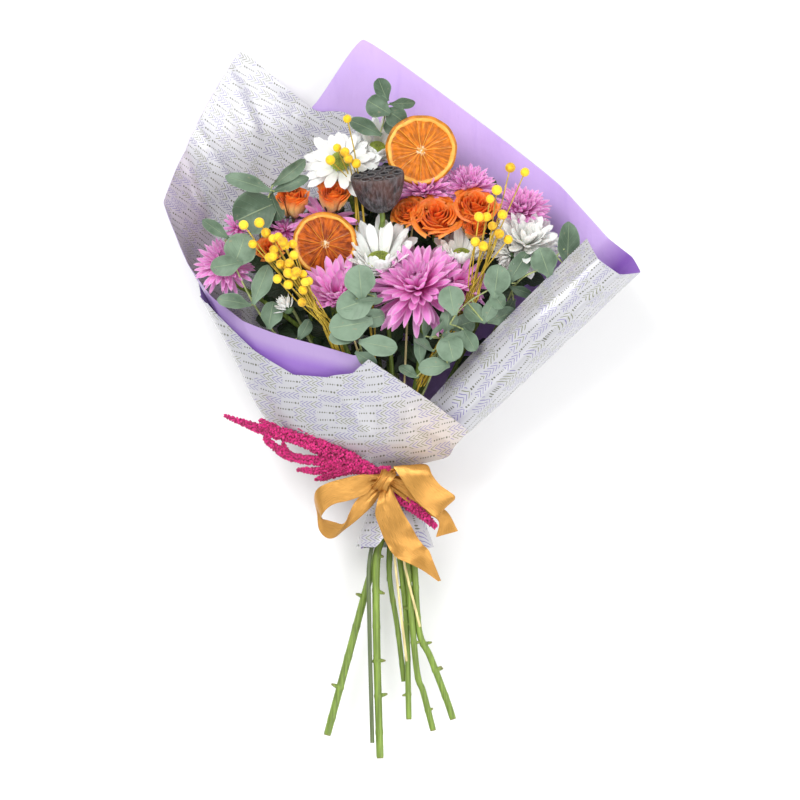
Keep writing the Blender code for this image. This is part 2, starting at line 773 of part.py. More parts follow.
def make_flower_stems():
    """Every green stem that carries flower heads."""
    low, mid, near = -7.9, -2.7, 2.7
    flower_stem("stem_pink_left", (-7.2, low), [(-24, -160, 24), (-16, -120, 28)],
                [(-30, -20, 22), (-75, 50, 26)],
                [("pink_bloom_4", [(-125, 90, 44)]), ("pink_bloom_9", [(-90, 110, 36)])],
                (2.4, 2.3, 2.2))
    flower_stem("stem_white_back", (-2.4, low), [(-10, -165, 24), (-8, -120, 28)],
                [(-12, -20, 20), (-30, 120, 18)],
                [("white_bloom_1", [(-44, 180, 40)]), ("white_bloom_2", [(-24, 185, 28)])],
                (2.4, 2.3, 2.0))
    flower_stem("stem_pink_right", (7.2, low), [(12, -165, 24), (6, -120, 28)],
                [(14, -20, 20), (42, 100, 20)],
                [("pink_bloom_7", [(60, 160, 34)]), ("pink_bloom_6", [(26, 150, 34)]),
                 ("pink_bloom_8", [(85, 145, 36)])],
                (2.4, 2.3, 2.2))
    flower_stem("stem_rose_left", (-5.6, mid), [(-66, -304, 30), (-48, -237, 32), (-30, -170, 34),
                                                (-17, -125, 37)],
                [(-28, -20, 36), (-70, 80, 44)],
                [("rose_1", [(-86, 130, 58)]), ("rose_7", [(-100, 110, 60)]),
                 ("rose_2", [(-52, 135, 62)])],
                (3.5, 2.6, 1.9))
    flower_stem("stem_rose_right", (5.6, mid), [(8, -168, 30), (4, -125, 34)],
                [(12, -20, 38), (30, 100, 50)],
                [("rose_3", [(34, 135, 70)]), ("rose_4", [(12, 130, 62), (5, 160, 78)]),
                 ("rose_5", [(50, 135, 62)]), ("rose_6", [(42, 136, 72)])],
                (2.6, 2.6, 1.9))
    flower_stem("stem_pink_middle", (-5.6, near), [(-18, -324, 44), (-21, -220, 45), (-21, -145, 45),
                                                   (-14, -115, 44)],
                [(-22, -20, 52), (-50, 50, 62)],
                [("pink_bloom_3", [(-60, 80, 74)]), ("pink_bloom_5", [(-72, 115, 56)])],
                (3.5, 2.6, 2.2))
    flower_stem("stem_white_middle", (0, near), [(8, -289, 41.5), (5.4, -195, 41), (-3, -120, 40.4)],
                [(-4, -20, 52), (-10, 60, 60)],
                [("white_bloom_3", [(-15, 100, 72)])],
                (2.7, 2.6, 2.1))
    flower_stem("stem_pink_front", (5.6, near), [(30, -299, 46), (21, -264, 46), (15, -243, 46),
                                                 (7, -157, 46), (3, -115, 44)],
                [(8, -20, 52), (18, 40, 64)],
                [("pink_bloom_1", [(20, 70, 78)]), ("pink_bloom_2", [(42, 80, 60)])],
                (2.9, 2.6, 2.2))
    flower_stem("stem_white_right", (11, near), [(48, -289, 42), (42, -271, 42), (27.5, -233, 43),
                                                 (17, -208, 43), (13, -150, 43), (9, -115, 43)],
                [(26, -20, 48), (68, 65, 62)],
                [("white_bloom_5", [(92, 110, 70)]), ("white_bloom_4", [(66, 108, 66)])],
                (3.1, 2.6, 2.1))


# Eucalyptus sprays: place in the tie, the stem's way, and each leaf's middle and size
SPRAYS = {
    "eucalyptus_1": ((2.9, -7.9), 2.0,
                     [(2, -150, 26), (-2, -100, 30)],
                     [(-2, -20, 20), (-4, 100, 12), (-2, 200, 24), (-4, 246, 40), (-12, 266, 84)],
                     [((-15, 277, 97), 10), ((-23, 266, 92), 11), ((3, 266, 94), 11),
                      ((-3, 254, 88), 12), ((-33, 250, 84), 13)]),
    "eucalyptus_2": ((-10.3, -2.7), 2.0,
                     [(-26, -135, 28), (-18, -100, 35)],
                     [(-40, -20, 36), (-85, 60, 42), (-122, 130, 56), (-128, 162, 76), (-120, 190, 88)],
                     [((-137, 197, 92), 16), ((-106, 206, 96), 15), ((-131, 172, 88), 20)]),
    "eucalyptus_3": ((-10.3, 2.7), 2.0,
                     [(-25, -310, 46), (-28, -186, 46), (-27.5, -145, 46), (-19.5, -112, 44)],
                     [(-18, -54, 44), (-44, -20, 54), (-86, 30, 74), (-116, 68, 96), (-144, 112, 110),
                      (-160, 146, 112)],
                     [((-166, 154, 116), 11), ((-143, 134, 118), 13), ((-158, 118, 116), 15),
                      ((-124, 104, 112), 16), ((-146, 88, 110), 11), ((-116, 76, 108), 12)]),
    "eucalyptus_4": ((0.0, 7.0), 1.4,
                     [(-4, -102, 47.4)],
                     [(-12, -25, 62), (-26, 12, 82), (-38, 56, 118), (-35, 84, 132), (-34, 100, 138)],
                     [((-36, 105, 142), 17), ((-52, 84, 134), 14), ((-44, 63, 126), 15),
                      ((-19, 50, 122), 15), ((-20, 84, 138), 12)]),
    "eucalyptus_5": ((7.6, 6.9), 1.2,
                     [(5, -102, 47.2)],
                     [(8, -20, 60), (20, 5, 74), (34, 38, 98), (45, 66, 120), (62, 84, 124), (80, 98, 124)],
                     [((45, 86, 136), 13), ((87, 105, 126), 15), ((74, 76, 124), 13),
                      ((34, 66, 122), 12), ((60, 54, 116), 13), ((45, 42, 108), 13),
                      ((24, 36, 104), 13), ((11, 26, 100), 11)]),
    "eucalyptus_6": ((10.4, -2.7), 2.0,
                     [(9, -118, 36)],
                     [(28, -20, 38), (76, 46, 50), (92, 82, 84), (102, 104, 116), (128, 120, 124),
                      (148, 140, 122)],
                     [((104, 120, 124), 15), ((130, 126, 128), 13), ((153, 147, 124), 14)]),
}


def nearest_on(line, point):
    """The point of a line that a leaf's short stalk leaves from."""
    ranked = sorted(range(len(line)), key=lambda i: (line[i] - point).length)
    return line[ranked[0]]


def eucalyptus_spray(name):
    """Round leaves on short stalks along a thin stem."""
    (dx, dz), radius, ends, way, leaves = SPRAYS[name]
    points = [Vector(p) for p in ends] + [tie_slot(dx, dz, TIE.y - 10), tie_slot(dx, dz, TIE.y + 10)]
    points += [Vector(p) for p in way]
    line = curve(points, 26.0)
    radii = [radius] * (len(line) - 1) + [0.7 * radius]
    base = tube(name, line, radii, 4)
    remember(line, radii)
    top = [p for p in curve(points, 4.0) if p.y > way[-4][1]]
    parts = []
    for middle, size in leaves:
        middle = Vector(middle)
        root = nearest_on(top, middle)
        ahead = middle - root
        flat = Vector((ahead.x, ahead.y, 0)).normalized()
        across = flat.cross(Vector((0, 0, 1)))
        near = middle - flat * size * 0.75
        far = middle + flat * size * 0.95
        points_along = [root, near, middle + flat * 0.1 * size, far]
        widths = [1.6, 1.1 * size, 1.9 * size, 0.7 * size]
        parts.append(keeled_blade(name, points_along, widths, across, 1.2))
    return finish(name, base, parts, "eucalyptus")


# Bunches of yellow balls: place in the tie, the way of the shared stalk, where the
# stalks part, and each ball's middle
BALL_RADIUS = 4.2
BALL_STALK = 1.0
BALL_STALKLET = 0.55
BUNCHES = {
    "yellow_balls_left": ((-7.6, 6.8), [(-12, -58, 48), (-26, -30, 62), (-46, 20, 84), (-58, 46, 98)],
                          [(-62, 62, 112), (-74, 84, 126)],
                          [(-139, 155, 124), (-125, 157, 126), (-131, 138, 124), (-113, 143, 128),
                           (-95, 138, 130), (-116, 126, 124), (-98, 121, 136), (-94, 110, 134),
                           (-84, 104, 138), (-87, 86, 136)]),
    "yellow_balls_right": ((5.2, 6.8), [(4, -30, 60), (18, 15, 78), (34, 50, 94)],
                           [(60, 84, 108), (76, 120, 112)],
                           [(98, 206, 124), (111, 202, 122), (86, 186, 126), (80, 178, 130),
                            (91, 164, 128), (96, 142, 128), (67, 140, 124)]),
    "yellow_balls_top": ((-2.6, 6.8), [(-14, -20, 58), (-26, 60, 76), (-37, 130, 84)],
                         [(-40, 182, 86), (-46, 205, 102)],
                         [(-47, 250, 112), (-56, 224, 114), (-62, 213, 118), (-46, 214, 120)]),
}


def ball_bunch(name):
    """Yellow balls on wiry stalks that part from one stalk."""
    (dx, dz), way, parting, balls = BUNCHES[name]
    points = [tie_slot(dx, dz, TIE.y - 26), tie_slot(dx, dz)] + [Vector(p) for p in way + parting]
    line = curve(points, 26.0)
    radii = [BALL_STALK] * len(line)
    base = tube(name, line, radii, 4)
    remember(line, radii)
    start = Vector(parting[0])
    end = Vector(parting[1])
    parts = []
    for middle in balls:
        middle = Vector(middle)
        parts.append(ball(name, middle, BALL_RADIUS, 5, 3))
        share = max(0.0, min(1.0, (middle - start).dot(end - start) / (end - start).length_squared))
        root = start.lerp(end, 0.8 * share)
        parts.append(tube(name, [root, middle], [BALL_STALKLET, BALL_STALKLET], 3))
    return finish(name, base, parts, "yellow")


def slice_stick(name, owner, slot, way, seat):
    """A thin stick from the tie to the back of a dried slice."""
    head = HEADS[owner]
    back = MEMBRANE_HEIGHT * SLICE_THICK / 2
    end = head.at(seat[0], seat[1], -back - STICK_RADIUS - GAP)
    points = [tie_slot(*slot, TIE.y - 26), tie_slot(*slot)] + [Vector(p) for p in way] + [end]
    line = curve(points, 30.0)
    radii = [STICK_RADIUS] * len(line)
    remember(line, radii)
    return finish(name, tube(name, line, radii, 4), [], "straw")


# The amaranthus: its main stalk and the tassels that leave it, each with a thickness
STALK_RADIUS = 1.6
STALK_RISE = 2.2
TASSEL_TAPER = 0.75
TASSEL_WAIST = 0.72
TASSEL_ROOT = 1.2
TASSELS = [
    ([(-40, -60, 70), (-70, -60, 74), (-100, -50, 77), (-128, -34, 80), (-156, -15, 84)], 6.5),
    ([(-40, -60, 71), (-66, -52, 80), (-92, -42, 84), (-122, -30, 86)], 5.0),
    ([(-36, -62, 70), (-60, -64, 70), (-84, -66, 69), (-102, -60, 70)], 4.5),
    ([(-30, -66, 68), (-54, -74, 68), (-76, -74, 68)], 4.0),
    ([(-64, -56, 75), (-90, -58, 74), (-112, -50, 74), (-132, -42, 75)], 4.5),
]


def amaranthus():
    """Drooping knobbly tassels on one stalk, outside the paper and under the ribbon."""
    top = TIE.z + TIE_RZ + OUTER_SHEET_OFFSET + LAP_RISE + PAPER + STALK_RISE
    stalk = curve([(31, -117, top + 2), (14, -100, top + 1.5), (2, -88, top), (-8, -76, top),
                   (-14, -66.5, top + 0.5), (-28, -61, top + 2), (-44, -58, 71)], 12.0)
    base = tube("amaranthus", stalk, [STALK_RADIUS] * len(stalk), 5)
    parts = []
    for points, thick in TASSELS:
        line = curve(points, 7.5)
        last = len(line) - 1
        radii = []
        for i in range(len(line)):
            taper = 1.0 - TASSEL_TAPER * (i / last) ** 2
            radii.append(thick * taper * (1.0 if i % 2 else TASSEL_WAIST))
        radii[0] = TASSEL_ROOT
        parts.append(tube("amaranthus", line, radii, 4))
    return finish("amaranthus", base, parts, "magenta", 60)


# Ribbon: width and thickness of the satin, the band round the tie, and the knot
RIBBON_WIDTH = 25.0
RIBBON_THICK = 1.0
BAND_WIDTH = 13.0
BAND_SIDES = 20
BAND_RX = 24.6
BAND_RZ = 24.0
BAND_RISE = 4.2
KNOT_RADIUS = 12.0
KNOT_WIDTH = 9.0


def ribbon_band():
    """The flat ring of ribbon round the tie."""
    half = BAND_WIDTH / 2
    middle_y = TIE.y - 2.0
    verts = []
    for k in range(BAND_SIDES):
        turn = math.tau * k / BAND_SIDES
        for rx, dy in ((0, -half), (RIBBON_THICK, -half), (RIBBON_THICK, half), (0, half)):
            verts.append(Vector((TIE.x + (BAND_RX + rx) * math.cos(turn), middle_y + dy,
                                 TIE.z + BAND_RISE + (BAND_RZ + rx) * math.sin(turn))))
    faces = []
    for k in range(BAND_SIDES):
        j = (k + 1) % BAND_SIDES
        for m in range(4):
            n = (m + 1) % 4
            faces.append((4 * k + m, 4 * k + n, 4 * j + n, 4 * j + m))
    return solid("band", verts, faces)


def ribbon_strip(points, widths, across, step=18.0):
    """One run of ribbon along hand-chosen points, widths and width directions."""
    points = [Vector(p) for p in points]
    across = [Vector(a).normalized() for a in across]
    width_points = [Vector((w, 0, 0)) for w in widths]
    line, sides, wide = [], [], []
    for i in range(len(points) - 1):
        count = max(1, round((points[i + 1] - points[i]).length / step))
        for k in range(count + (i == len(points) - 2)):
            t = i + k / count
            line.append(spline(points, t))
            sides.append(spline(across, t))
            wide.append(spline(width_points, t).x)
    return blade("strip", line, wide, sides, RIBBON_THICK)


def ribbon_bow():
    """Band, knot, two loops and two tails, joined in one solid."""
    base = ribbon_band()
    top = TIE.z + BAND_RISE + BAND_RZ
    knot = Vector((-13, -74, top + 8))
    wide = RIBBON_WIDTH
    parts = [ball("knot", knot, KNOT_RADIUS, 9, 6, 0.75)]
    left = [knot, (-42, -77, top + 14), (-66, -86, top + 15), (-75, -104, top + 8),
            (-64, -116, top - 2), (-44, -104, top), knot]
    parts.append(ribbon_strip(left, [KNOT_WIDTH, wide, wide, wide, wide, 20, KNOT_WIDTH],
                              [(0, 1, 0.2), (0.1, 1, 0.3), (0.4, 0.8, 0.6), (0.8, 0.1, 0.8),
                               (0.5, -0.7, 0.8), (0.0, -0.9, 0.7), (0, -1, 0.2)]))
    right = [knot, (10, -68, top + 14), (32, -76, top + 16), (44, -92, top + 10),
             (32, -106, top + 6), (12, -94, top + 8), knot]
    parts.append(ribbon_strip(right, [KNOT_WIDTH, 22, wide, wide, wide, 20, KNOT_WIDTH],
                              [(0, 1, 0.2), (-0.1, 1, 0.3), (0.3, 1, 0.4), (0.9, 0.3, 0.7),
                               (0.4, -0.8, 0.8), (0.0, -0.9, 0.7), (0, -1, 0.2)]))
    tail = [knot, (-10, -102, top + 8), (0, -128, top + 3), (32, -158, top + 1)]
    parts.append(ribbon_strip(tail, [KNOT_WIDTH, 20, wide, 14],
                              [(1, 0, 0), (1, 0.15, 0.1), (0.9, 0.5, 0), (0.7, 0.7, 0)]))
    back = [knot, (22, -98, top + 5), (42, -116, top + 2)]
    parts.append(ribbon_strip(back, [KNOT_WIDTH, 20, 18],
                              [(1, 0.6, 0), (0.8, 0.7, 0), (0.7, 0.7, 0)]))
    return finish("ribbon_bow", base, parts, "satin")


def wrap_point(u, v):
    """A point of the surface that both sheets follow: spoke u, distance v from the tie."""
    levels = []
    angles = [Vector((spoke[0], 0, 0)) for spoke in SPOKES]
    angle = math.radians(spline(angles, u).x)
    out = Vector((math.cos(angle), 0, math.sin(angle)))
    levels.append(Vector((TIE.x + SKIRT_RX * out.x, SKIRT_Y, TIE.z + SKIRT_RZ * out.z)))
    for y in (TIE.y - TIE_HALF, TIE.y + TIE_HALF):
        levels.append(Vector((TIE.x + TIE_RX * out.x, y, TIE.z + TIE_RZ * out.z)))
    for level, pull in ROUND_PULLS:
        levels.append(spline([Vector(spoke[level]) for spoke in SPOKES], u, pull))
    return spline(levels, v + 2.0, SPOKE_PULL)


def wrap_normal(u, v):
    """The outward direction of that surface."""
    step = 0.05
    last = len(SPOKES) - 1
    u0 = max(0.0, u - step)
    u1 = min(float(last), u + step)
    v0 = max(-2.0, v - step)
    v1 = min(3.0, v + step)
    along_u = wrap_point(u1, v) - wrap_point(u0, v)
    along_v = wrap_point(u, v1) - wrap_point(u, v0)
    return along_u.cross(along_v).normalized()


def spoke_end(u, column):
    """How far along spoke u a sheet goes."""
    i = min(int(u), len(SPOKES) - 2)
    return SPOKES[i][column] * (1 - (u - i)) + SPOKES[i + 1][column] * (u - i)


def smooth_step(value, low, high):
    """0 below low, 1 above high, smooth between them."""
    t = max(0.0, min(1.0, (value - low) / (high - low)))
    return t * t * (3 - 2 * t)


def paper_sheet(name, spokes, column, offset, lap, floor, finish_name):
    """One sheet of paper as a thin closed shell on the shared surface."""
    first, last = spokes
    inner = []
    outer = []
    for u in [stop for stop in reversed(WRAP_STOPS) if first <= stop <= last]:
        end = spoke_end(u, column)
        rise = offset + lap * smooth_step(u, *LAP_SPOKES)
        inner_row = []
        outer_row = []
        for v in (*SPOKE_STOPS, 0.5 * (SPOKE_STOPS[-1] + end), end):
            point = wrap_point(u, v)
            normal = wrap_normal(u, v)
            inside = point + normal * rise
            outside = point + normal * (rise + PAPER)
            if outside.z < floor:
                outside.z = floor
                inside.z = max(inside.z, floor + PAPER)
            inner_row.append(inside)
            outer_row.append(outside)
        inner.append(inner_row)
        outer.append(outer_row)
    return finish(name, two_faced(name, inner, outer), [], finish_name, 50)


def two_faced(name, inner, outer):
    """A closed shell between two grids of points, split alike on both faces."""
    normals = [[b - a for a, b in zip(row_in, row_out)] for row_in, row_out in zip(inner, outer)]
    return thick_grid(name, inner, normals, 0.0, 1.0)


def straws():
    """Three thin straws among the cut stems."""
    runs = {
        "straw_1": [(-6, -102, 48), (-4.5, -145, 52), (6, -236, 52)],
        "straw_2": [(3.4, -110, 51), (3.6, -145, 50), (18, -205, 51)],
        "straw_3": [(11.4, -104, 36.4), (15, -151, 36), (13, -197, 35)],
    }
    for name, points in runs.items():
        line = curve(points, 30.0)
        finish(name, tube(name, line, [STRAW_RADIUS] * len(line), 5), [], "straw")


def pod_stem():
    """The lotus pod's own stem, from its cut end to the foot of the pod."""
    foot = POD_TOP - POD_AXIS * (POD_LENGTH + GAP)
    points = [(3.6, -255, 36), (-2, -208, 36), (-10, -150, 36), tie_slot(0, -2.7, -84),
              tie_slot(0, -2.7, -56), (-6, -20, 38), (-14, 90, 48), (-18, 140, 76),
              foot - POD_AXIS * 8.0, foot]
    line = curve(points, 28.0)
    radii = [POD_STEM_RADIUS] * len(line)
    remember(line, radii)
    return finish("lotus_stem", tube("lotus_stem", line, radii), [], "stem_green")


def build():
    """Make the whole bouquet."""
    clear_scene()
    set_out_heads()
    make_flower_stems()
    for name, (base, parts) in STEMS.items():
        finish(name, base, parts, "stem_green")
    pod_stem()
    slice_stick("stick_1", "orange_slice_1", (2.7, 6.8),
                [(2, -20, 60), (6, 60, 74), (8, 120, 74), (12, 162, 75), (17, 188, 76.5)], (0, -22))
    slice_stick("stick_2", "orange_slice_2", (-5.2, 6.8),
                [(-16, -20, 58), (-40, 50, 76), (-50, 100, 80)], (9, -9))
    for name in SPRAYS:
        eucalyptus_spray(name)
    for name in BUNCHES:
        ball_bunch(name)
    for name in PINK_HEADS:
        pink_head(name)
    for name in WHITE_HEADS:
        white_head(name)
        flower_disc(name.replace("bloom", "disc"), name)
    for name in ROSE_HEADS:
        rose_head(name)
    for name in SLICES:
        orange_slice(name)
    lotus_pod()
    amaranthus()
    ribbon_bow()
    straws()
    paper_sheet("paper_outer", OUTER_SPOKES, 4, OUTER_SHEET_OFFSET, LAP_RISE, 0.0, "paper_outer")
    paper_sheet("paper_inner", INNER_SPOKES, 5, INNER_SHEET_OFFSET, 0.0, 2 * PAPER, "paper_inner")


build()
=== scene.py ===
"""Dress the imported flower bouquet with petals, leaves, paper, ribbon and stems.

Sizes in the tables are in millimetres, in the frame that the solids were drawn in; a
piece becomes metres, with its origin under the middle of the bouquet, when it is made.
"""
import math
import random

import bpy
import numpy as np
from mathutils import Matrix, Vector, noise


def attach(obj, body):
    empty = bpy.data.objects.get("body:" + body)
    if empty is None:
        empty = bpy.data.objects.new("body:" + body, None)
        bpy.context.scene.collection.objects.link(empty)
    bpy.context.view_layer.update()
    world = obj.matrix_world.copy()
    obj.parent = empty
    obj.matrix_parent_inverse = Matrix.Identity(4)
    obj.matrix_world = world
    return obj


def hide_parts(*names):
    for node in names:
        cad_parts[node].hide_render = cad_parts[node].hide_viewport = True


bl_info = {
    "name": "Flower bouquet",
    "version": (1, 0, 0),
    "blender": (4, 5, 0),
    "location": "View3D > Sidebar > Bouquet",
    "description": "Dresses a hand-tied bouquet: papers, blooms, foliage, ribbon and stems",
    "category": "Object",
}

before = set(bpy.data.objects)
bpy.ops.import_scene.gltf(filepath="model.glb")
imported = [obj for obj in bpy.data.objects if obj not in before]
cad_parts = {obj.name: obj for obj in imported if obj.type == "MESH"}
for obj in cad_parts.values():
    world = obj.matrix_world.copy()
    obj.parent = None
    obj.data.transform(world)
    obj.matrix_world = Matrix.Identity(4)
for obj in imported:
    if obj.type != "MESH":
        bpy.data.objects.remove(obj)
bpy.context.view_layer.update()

MM = 0.001
ORIGIN = np.array((1.15, 0.7, 0.0))
SEED = 41
GAP = 0.3

# One step of the picture in millimetres, and the step, across and down, of the zero
STEP = 0.9
ZERO = (400, 399)

# The turn from one floret to the next in a spiral, how many a disc has, and how high a
# petal may stand
SPIRAL_TURN = 2.39996
FLORETS = 150
HIGHEST = 149.5

# The tie: its middle, half its length and its half widths; then the skirt of paper below it
TIE = np.array((-4.0, -73.0, 40.0))
TIE_HALF = 13.0
TIE_RX = 17.0
TIE_RZ = 15.6
SKIRT_Y = -134.0
SKIRT_RX = 33.0
SKIRT_RZ = 24.0

# The paper: thickness of a sheet's solid and of the paper drawn in it, and where each
# sheet's inner face lies outside the shared surface
SOLID_PAPER = 1.0
DRAWN_PAPER = 0.4
OUTER_OFFSET = 1.2
INNER_OFFSET = -2.2

# Where the outer sheet laps over the inner one: how far it lifts, and between which spokes
LAP_RISE = 3.4
LAP_SPOKES = (12.0, 17.0)

# How tightly the surface curves: round the tie at each level of the spokes, and along them
ROUND_PULLS = ((1, 0.5), (2, 0.4), (3, 0.15))
SPOKE_PULL = 0.32

# How far the hems lie from the point of the cone that a sheet is laid open as
CONE_START = 20.0

# The paper's pattern: pitch of the rows, length of a repeat along a row, where the strokes
# and the small dots lie in it and the large dots begin, and the strokes' pitch and lean
ROW_PITCH = 6.6
REPEAT = 37.0
STROKES_LIE = (1.0, 21.0)
SMALL_DOTS_LIE = (22.5, 31.0)
LARGE_DOTS_FROM = 31.6
STROKE_PITCH = 4.0
STROKE_LEAN = 1.8

# Folds of each sheet: first and last spoke, then two places in the picture, how far the
# fold stands out and how wide it is
OUTER_FOLDS = [
    (6.3, 9.6, ((366, 40), (375, 90), -1.6, 6.0)),
    (6.0, 8.5, ((420, 75), (436, 150), -1.2, 7.0)),
    (16.5, 21.0, ((408, 408), (399, 452), 1.8, 4.0)),
    (14.0, 21.0, ((330, 372), (372, 436), 1.0, 7.0)),
    (1.0, 3.4, ((470, 398), (560, 318), 0.9, 6.0)),
]
INNER_FOLDS = [
    (8.0, 12.6, ((227, 71), (255, 128), -3.6, 3.6)),
    (8.0, 13.5, ((197, 130), (229, 180), -3.6, 3.6)),
    (8.0, 13.5, ((184, 146), (203, 206), -3.4, 4.0)),
    (8.0, 11.5, ((290, 88), (300, 150), -2.0, 6.0)),
    (8.0, 11.5, ((240, 62), (330, 112), -1.8, 5.0)),
]

# Sheets of paper: node, first and last spoke, column of the spokes that says how far it
# goes, how far out it lies, how far it laps, least height, columns and rows, seed of its
# creases, the place and slope that its pattern's rows follow, how its lower hem is notched
# and its folds
SHEETS = {
    "outer_wrap": {
        "node": "paper_outer", "spokes": (21.0, 0.0), "column": 4, "offset": OUTER_OFFSET,
        "lap": LAP_RISE, "floor": 0.45, "size": (250, 110), "seed": 1.7,
        "row_along": (1.5, 0.8, math.radians(44)), "notch": (0.42, 18.9, 1.6),
        "folds": OUTER_FOLDS},
    "inner_wrap": {
        "node": "paper_inner", "spokes": (18.6, 8.0), "column": 5, "offset": INNER_OFFSET,
        "lap": 0.0, "floor": 2.4, "size": (170, 130), "seed": 8.3,
        "row_along": (10.4, 0.88, math.radians(-33)), "notch": (0.5, 18.4, 4.0),
        "folds": INNER_FOLDS},
}

# Spokes of the wrap: angle round the tie, shoulder, middle and far edge, and how far
# the outer and the inner sheet go
SPOKES = [
    (80, (22, -8, 78), (97, 73, 112), (167, 142, 124), 3.0, 0.0),
    (60, (38, -14, 92), (112, 66, 130), (176, 124, 144), 3.0, 0.0),
    (40, (54, -20, 90), (130, 56, 131), (193, 112, 146), 3.0, 0.0),
    (15, (64, -25, 66), (143, 49, 100), (213, 114, 118), 3.0, 0.0),
    (-15, (66, -20, 38), (142, 58, 64), (207, 128, 88), 3.0, 0.0),
    (-40, (60, -8, 16), (120, 75, 34), (186, 146, 64), 3.0, 0.0),
    (-60, (45, 10, 5), (90, 110, 10), (143, 194, 44), 3.0, 0.0),
    (-75, (25, 18, 1), (50, 130, 1), (77, 247, 34), 3.0, 0.0),
    (-90, (0, 20, 1), (-15, 140, 1), (-33, 325, 42), 3.0, 2.5),
    (-102, (-30, 18, 1), (-55, 135, 1), (-80, 265, 28), 3.0, 3.0),
    (-116, (-55, 10, 3), (-90, 120, 6), (-144, 314, 52), 2.3, 3.0),
    (-132, (-80, 0, 8), (-125, 105, 18), (-183, 249, 64), 2.3, 3.0),
    (-150, (-100, -8, 18), (-154, 86, 36), (-213, 176, 84), 2.4, 3.0),
    (-168, (-112, -18, 34), (-152, 52, 58), (-192, 120, 88), 2.6, 3.0),
    (-186, (-110, -24, 58), (-139, 26, 78), (-172, 93, 99), 2.9, 3.0),
    (-204, (-92, -27, 74), (-115, 20, 93), (-142, 70, 106), 2.5, 3.0),
    (-220, (-70, -29, 82), (-88, 11, 100), (-110, 58, 111), 2.3, 3.0),
    (-236, (-45, -31, 86), (-60, 7, 104), (-70, 47, 114), 2.38, 3.0),
    (-250, (-20, -33, 88), (-35, 2, 106), (-43, 39, 116), 2.62, 3.0),
    (-262, (4, -37, 88), (-6, -6, 106), (-28, 37, 116), 3.0, 3.0),
    (-272, (25, -43, 84), (12, -18, 102), (27, 0, 108), 3.0, 0.0),
    (-284, (42, -47, 79), (50, -38, 92), (62, -26, 99), 3.0, 0.0),
]

# Blooms by the node that they stand for: where the petals meet, their length, the way
# that the bloom opens, how full it is, and how deep its colour is
PINK_BLOOMS = {
    "pink_bloom_1": [((16, 99, 106), 50, (-0.12, 0.62, 0.78), "full", 0.0)],
    "pink_bloom_2": [((52, 104, 101), 34, (0.36, 0.25, 0.90), "open", 0.0)],
    "pink_bloom_3": [((-56, 92, 108), 48, (-0.03, 0.72, 0.69), "upright", 0.0)],
    "pink_bloom_4": [
        ((-157, 120, 94), 29, (-0.05, 0.58, 0.81), "full", 0.05), ((-145, 154, 84), 18,
        (0.0, 0.50, 0.86), "small", 0.1)],
    "pink_bloom_5": [((-68, 162, 84), 34, (-0.05, 0.40, 0.91), "full", 0.05)],
    "pink_bloom_6": [((22, 186, 78), 30, (-0.05, 0.60, 0.80), "full", 0.0)],
    "pink_bloom_7": [((62, 189, 74), 28, (0.1, 0.62, 0.78), "full", 0.12)],
    "pink_bloom_8": [((109, 168, 76), 30, (0.1, 0.60, 0.80), "full", 0.05)],
    "pink_bloom_9": [((-104, 152, 78), 23, (-0.25, 0.40, 0.88), "small", 0.05)],
}
WHITE_BLOOMS = {
    "white_bloom_1": [((-53, 211, 88), 37, (-0.1, 0.35, 0.93), "daisy", 0.0)],
    "white_bloom_2": [((-21, 222, 74), 32, (0.12, 0.62, 0.78), "fan", 0.0)],
    "white_bloom_3": [((-18, 119, 104), 45, (-0.03, 0.84, 0.54), "fan", 0.0)],
    "white_bloom_4": [((55, 125, 98), 34, (0.04, 0.84, 0.54), "fan", 0.0)],
    "white_bloom_5": [((112, 139, 96), 37, (0.12, 0.66, 0.74), "peony", 0.0)],
}
# Side buds of the daisies: foot, length and the way that each points
SIDE_BUDS = {
    "white_bloom_4": [((99, 127, 112), 15, (-0.75, -0.45, 0.48)),
                      ((96, 133, 108), 13, (-0.5, 0.3, 0.8))],
    "white_bloom_3": [((-99, 80, 118), 16, (-0.55, 0.78, 0.30))],
}
# Roses: where the petals wrap, radius, the way that each faces, and how far it has opened
ROSES = {
    "rose_1": ((-96, 176, 88), 18, (-0.08, 1.15, 0.8), "bud"),
    "rose_2": ((-60, 180, 92), 18, (0.1, 1.0, 0.9), "bud"),
    "rose_3": ((32, 165, 100), 23, (0.05, 0.80, 1.0), "open"),
    "rose_4": ((8, 169, 94), 16, (-0.45, 0.75, 1.0), "open"),
    "rose_5": ((68, 174, 96), 20, (0.15, 0.85, 1.0), "open"),
    "rose_6": ((66, 152, 104), 14, (0.1, 0.7, 1.0), "bud"),
    "rose_7": ((-117, 136, 88), 13, (-0.2, 0.5, 1), "open"),
}
# Slices: middle, radius, the way that each faces, how many segments, and how dark it is
SLICES = {
    "orange_slice_1": ((19, 223, 93), 32, (0.0, -0.25, 1), 11, 0.0),
    "orange_slice_2": ((-67, 139, 103), 29.0, (-0.05, -0.25, 1), 10, 0.8),
}
SLICE_THICK = 5.0
# Sticks of the slices: which slice, slot in the tie, way, and where it meets the slice
SLICE_STICKS = {
    "stick_1": ("orange_slice_1", (2.7, 6.8),
                [(2, -20, 60), (6, 60, 74), (8, 120, 74), (12, 162, 75), (17, 188, 76.5)],
                (0, -22)),
    "stick_2": ("orange_slice_2", (-5.2, 6.8), [(-16, -20, 58), (-40, 50, 76), (-50, 100, 80)],
                (9, -9)),
}
# Blooms in the order in which they take their space: later petals keep out of it
BLOOM_ORDER = ["white_bloom_5", "pink_bloom_1", "pink_bloom_2", "white_bloom_3",
               "pink_bloom_3", "white_bloom_1", "pink_bloom_4", "white_bloom_4",
               "pink_bloom_8", "pink_bloom_6", "pink_bloom_5", "pink_bloom_7",
               "pink_bloom_9", "white_bloom_2"]

